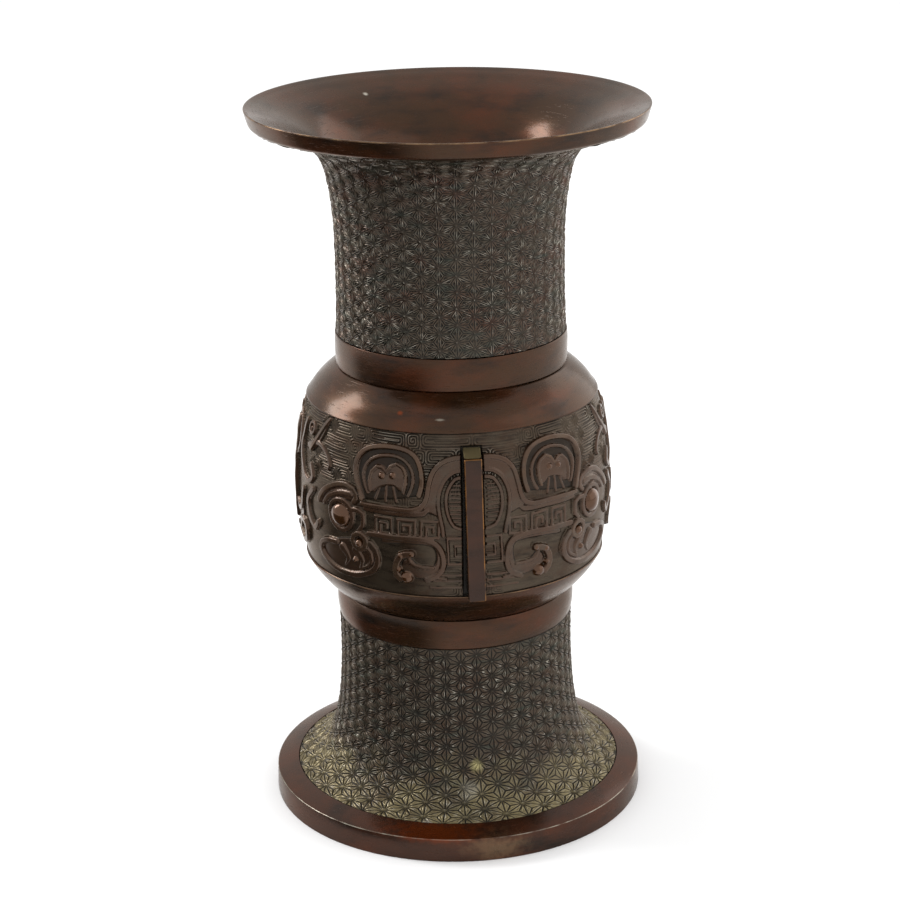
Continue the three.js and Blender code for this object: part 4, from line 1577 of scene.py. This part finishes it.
@dataclass
class Flange:
    """An upright bar let into the drum, its edges rubbed and painted with highlights and its upper end
    sloped. Millimetres.
    """

    node: str
    name: str
    # Direction that it faces, in radians from +X
    angle: float
    width: float = 8.5
    front: float = 85.0
    back: float = 71.5
    corner: float = 0.7
    # How far its back is set to the side, its head slopes and, in degrees, it leans
    askew: float = 0.9
    head_slope: float = 2.6
    lean: float = 0.0
    rows: int = 90

    # Levels of the rings next to an end, and sizes of the rings that lie on it
    END_LEVELS = np.array([0, 0.15, 0.4, 0.8])
    END_START = 1.6
    END_SCALES = (0.8, 0.75, 0.6)
    # Points on a straight side of the section, with both its corners' ends
    SIDE_POINTS = 5
    # Deepest dent of the front face, and the sheet that the dents are drawn on, in millimetres
    DENT = 0.12
    DENT_SHEET = 40

    def build(self) -> bpy.types.Object:
        """Makes the bar.

        Returns:
            Its object.
        """
        seat = Seat.of(self.node)
        height = seat.high - self.head_slope - seat.low
        section, middle = self.section(), np.array([(self.back + self.front) / 2, 0.0])
        inner = np.linspace(self.END_START, height - self.END_START, self.rows)
        levels = np.concatenate([self.END_LEVELS, inner, height - self.END_LEVELS[::-1]])
        inset = np.clip(np.minimum(levels, levels[::-1]) / self.corner, 0, 1)
        inset = self.corner * (1 - np.sqrt(np.clip(1 - (1 - inset) ** 2, 0, 1)))
        inward = (middle - section) / np.linalg.norm(middle - section, axis=1)[:, None]
        rings = [(section + inward * pull, level) for level, pull in zip(levels, inset)]
        for scale in self.END_SCALES:
            rings.insert(0, (middle + (rings[0][0] - middle) * scale, levels[0]))
            rings.append((middle + (rings[-1][0] - middle) * scale, levels[-1]))
        return self.loft(rings, seat.low, height)

    def section(self) -> np.ndarray:
        """Returns the bar's rounded section, as radius and distance across."""
        half = self.width / 2
        corners = [(self.back, -half), (self.front, -half), (self.front, half), (self.back, half)]
        turns = [rounded(corners[i], corners[i - 1], corners[(i + 1) % 4], self.corner) for i in range(4)]
        sides = [np.linspace(turns[i][-1], turns[(i + 1) % 4][0], self.SIDE_POINTS)[1:-1] for i in range(4)]
        return np.vstack([part for pair in zip(turns, sides) for part in pair])

    def loft(self, rings: list, low: float, height: float) -> bpy.types.Object:
        """Joins the sections.

        Args:
            rings: Each section's points and its height over the bar's foot.
            low: Level of the bar's foot.
            height: Height of the bar at its front.

        Returns:
            The bar's object.
        """
        around, count = len(rings[0][0]), len(rings)
        radius, across = np.concatenate([points for points, _ in rings]).T
        level = np.repeat([level for _, level in rings], around)
        depth = np.clip((self.front - radius) / (self.front - self.back), 0, 1)
        z = low + level + ease((level - (height - 3)) / 3) * depth**1.5 * self.head_slope
        # Rubbed, with painted highlights, along the front's edges and ends, and green with dirt on the slope
        # of the head
        near_side = np.minimum(np.abs(self.width / 2 - np.abs(across)), 9)
        near_front = np.abs(self.front - radius)
        rubbed_sheen = ease(1.3 - np.hypot(near_side, near_front) / 0.8)
        ends = ease(1.3 - np.minimum(level, height - level) / 0.6) * ease(1.4 - near_front)
        head = ease((level - height + 0.3) / 0.2) * ease((near_front - 1.2) / 0.8)
        dents = np.abs(Grain(len(self.name), 12, 9).at(across / self.DENT_SHEET, level / height) * self.DENT)
        radius = radius - np.where(near_front < 0.1, dents, 0)
        across = across - math.tan(math.radians(self.lean)) * level + self.askew * depth
        points = np.column_stack([radius, across, z]) @ np.array(Matrix.Rotation(self.angle, 3, "Z")).T
        place = np.arange(around)
        first = np.arange(count - 1)[:, None] * around
        index, after = (first + place).ravel(), (first + (place + 1) % around).ravel()
        sides = np.column_stack([index, after, after + around, index + around])
        caps = np.array([place[::-1], place + (count - 1) * around])
        picture = np.column_stack([np.tile(place / around, count), level / height])
        skin = Skin(height)
        skin.add(points, picture, Lift.plain(z, np.maximum(rubbed_sheen, ends) - head), sides, caps)
        piece = skin.piece(self.name, self.node)
        dress(piece, BAR)
        return piece


def face_centres(mesh: bpy.types.Mesh) -> np.ndarray:
    """Returns the middle of each face."""
    centres = np.empty(len(mesh.polygons) * 3)
    mesh.polygons.foreach_get("center", centres)
    return centres.reshape(-1, 3)


MADE: dict[str, bpy.types.Material] = {}


def made(finish: Bronze) -> bpy.types.Material:
    """Returns a finish's material, built once."""
    if finish.name not in MADE:
        MADE[finish.name] = finish.material()
    return MADE[finish.name]


def dress(
    piece: bpy.types.Object, *finishes: Bronze, split: Callable[[bpy.types.Mesh], np.ndarray] | None = None
) -> None:
    """Gives a piece its finishes.

    Args:
        piece: The object.
        finishes: The main finish, and a second one where the piece has two.
        split: Picks the faces that take the second finish.
    """
    for finish in finishes:
        piece.data.materials.append(made(finish))
    if split:
        piece.data.polygons.foreach_set("material_index", split(piece.data).astype(np.int32))


def flat_sheet(name: str, points: list, faces: list, colour: Value, n: Nodes) -> bpy.types.Object:
    """Makes a matt sheet of the studio.

    Args:
        name: The object's name.
        points: Its corners in metres.
        faces: Indexes of each face's corners.
        colour: Its colour.
        n: The nodes of its material.

    Returns:
        The object.
    """
    mesh = bpy.data.meshes.new(name)
    mesh.from_pydata(points, [], faces)
    mesh.materials.append(n.surface(base_color=colour, roughness=0.9))
    return linked(name, mesh)


@dataclass
class Studio:
    """A white floor, three soft boxes and a dark card, as for a picture on white. Metres and watts."""

    floor_size: float = 24.0
    ambient: float = 1.05
    left: float = 13.0
    right: float = 10.5
    fill: float = 5.0
    # The card's nearest and farthest edge from the vase's axis, its level and its steps
    card_near: float = 0.117
    card_far: float = 1.1
    card_level: float = 0.0004
    card_steps: int = 47
    # Where the card starts and ends round the vase, in degrees, and how far its ends fade, in radians
    card_span: Point = (-215, -100)
    card_fade: Point = (0.4, 0.6)

    PAPER = (0.96, 0.96, 0.96, 1)
    CARD = (0.012, 0.012, 0.012, 1)
    # What the soft boxes face
    AIM = Vector((0, 0, 0.2))

    def build(self) -> None:
        """Makes the floor, the surroundings, the card and the lights."""
        self.floor()
        self.surroundings()
        self.dark_card()
        self.soft_box("left soft box", (-1.26, 0.59, 1.0), (0.5, 0.8), self.left)
        self.soft_box("right soft box", (1.6, 0.9, 0.8), (1.5, 1.6), self.right)
        self.soft_box("front soft box", (1.33, -0.69, 0.9), (1.8, 1.4), self.fill)

    def dark_card(self) -> None:
        """Lays a dark card at the vase's left front, which only the gloss of the bronze sees: a painted dark
        reflection that the camera, diffuse light and shadows pass through.
        """
        n = Nodes("dark card")
        shade = n.add("ShaderNodeAttribute", attribute_name="shade").outputs["Fac"]
        turn = np.radians(np.linspace(*self.card_span, self.card_steps))
        starts, ends = self.card_fade
        dark = np.minimum(ease((turn - turn[0]) / starts), ease((turn[-1] - turn) / ends))
        edges = [
            np.column_stack([np.cos(turn) * r, np.sin(turn) * r, 0 * turn + self.card_level])
            for r in (self.card_near, self.card_far)
        ]
        points = np.stack(edges, axis=1).reshape(-1, 3).tolist()
        faces = [(i, i + 1, i + 3, i + 2) for i in range(0, 2 * len(turn) - 2, 2)]
        card = flat_sheet("dark card", points, faces, n.blend(shade, self.PAPER, self.CARD), n)
        card.data.attributes.new("shade", "FLOAT", "POINT").data.foreach_set("value", np.repeat(dark, 2))
        card.visible_camera = card.visible_diffuse = card.visible_shadow = False

    def floor(self) -> None:
        """Makes the floor."""
        half = self.floor_size / 2
        corners = [(-half, -half, 0), (half, -half, 0), (half, half, 0), (-half, half, 0)]
        paper = flat_sheet("floor", corners, [(0, 1, 2, 3)], self.PAPER, Nodes("white paper"))

    def surroundings(self) -> None:
        """Makes the even light of the room, and white behind the vase."""
        world = bpy.data.worlds.new("studio")
        bpy.context.scene.world = world
        world.use_nodes = True
        tree = world.node_tree
        tree.nodes.clear()
        light = tree.nodes.new("ShaderNodeBackground")
        light.inputs["Color"].default_value = (1, 1, 1, 1)
        light.inputs["Strength"].default_value = self.ambient
        output = tree.nodes.new("ShaderNodeOutputWorld")
        tree.links.new(light.outputs[0], output.inputs["Surface"])

    def soft_box(self, name: str, place: tuple, size: tuple, power: float) -> None:
        """Hangs a soft box that faces the middle of the vase.

        Args:
            name: Its name.
            place: Where its middle is.
            size: Its width and height.
            power: Its light in watts.
        """
        light = bpy.data.lights.new(name, "AREA")
        light.shape, light.size, light.size_y, light.energy = "RECTANGLE", *size, power
        lamp = linked(name, light)
        lamp.location = place
        lamp.rotation_euler = (Vector(place) - self.AIM).to_track_quat("Z", "Y").to_euler()


@dataclass
class Viewpoint:
    """The photograph's camera. Millimetres and degrees."""

    distance: float = 1121.1
    height: float = 569.9
    azimuth: float = -7.2
    pan: float = -0.077
    tilt: float = 19.071
    roll: float = 0.963
    lens: float = 93.61
    sensor: float = 36.0
    # Nearest and farthest that it sees, in metres
    clip: Point = (0.05, 60)

    def build(self) -> None:
        """Makes the scene's camera."""
        pan, tilt, roll = (math.radians(v) for v in (self.pan, self.tilt, self.roll))
        right = Vector((math.cos(pan), -math.sin(pan), 0))
        level = Vector((math.sin(pan), math.cos(pan), 0))
        up = level * math.sin(tilt) + Vector((0, 0, math.cos(tilt)))
        side = right * math.cos(roll) - up * math.sin(roll)
        head = right * math.sin(roll) + up * math.cos(roll)
        axes = Matrix((side, head, side.cross(head))).transposed().to_4x4()
        axes.translation = Vector((0, -self.distance, self.height)) * MM
        data = bpy.data.cameras.new("camera")
        data.lens, data.sensor_width, (data.clip_start, data.clip_end) = self.lens, self.sensor, self.clip
        camera = linked("camera", data)
        camera.matrix_world = Matrix.Rotation(math.radians(self.azimuth), 4, "Z") @ axes
        bpy.context.scene.camera = camera


def main() -> None:
    """Builds the vase and its studio."""
    logging.basicConfig(level=logging.INFO, format="%(name)s: %(message)s")
    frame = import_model()
    parts = [
        BaseRing(),
        Foot(),
        Collar("lower_band", "lower_collar", wall=3.6, swell=1.1),
        Drum(),
        Flange("flange_front", "front_bar", -QUARTER, lean=1.0),
        Flange("flange_back", "back_bar", QUARTER),
        Collar("upper_band", "upper_collar", wall=3.3, swell=0.3),
        Neck(),
    ]
    for part in parts:
        part.build()
    plain = {"floor_disc": POLISHED, "floor_solder_fillet": SOLDER, "base_solder_fillet": SOLDER}
    for node, finish in plain.items():
        materials = frame["nodes"][node].data.materials
        materials.clear()
        materials.append(made(finish))
    Studio().build()
    Viewpoint().build()
    bpy.context.scene.view_settings.view_transform = "Standard"


if __name__ == "__main__":
    main()
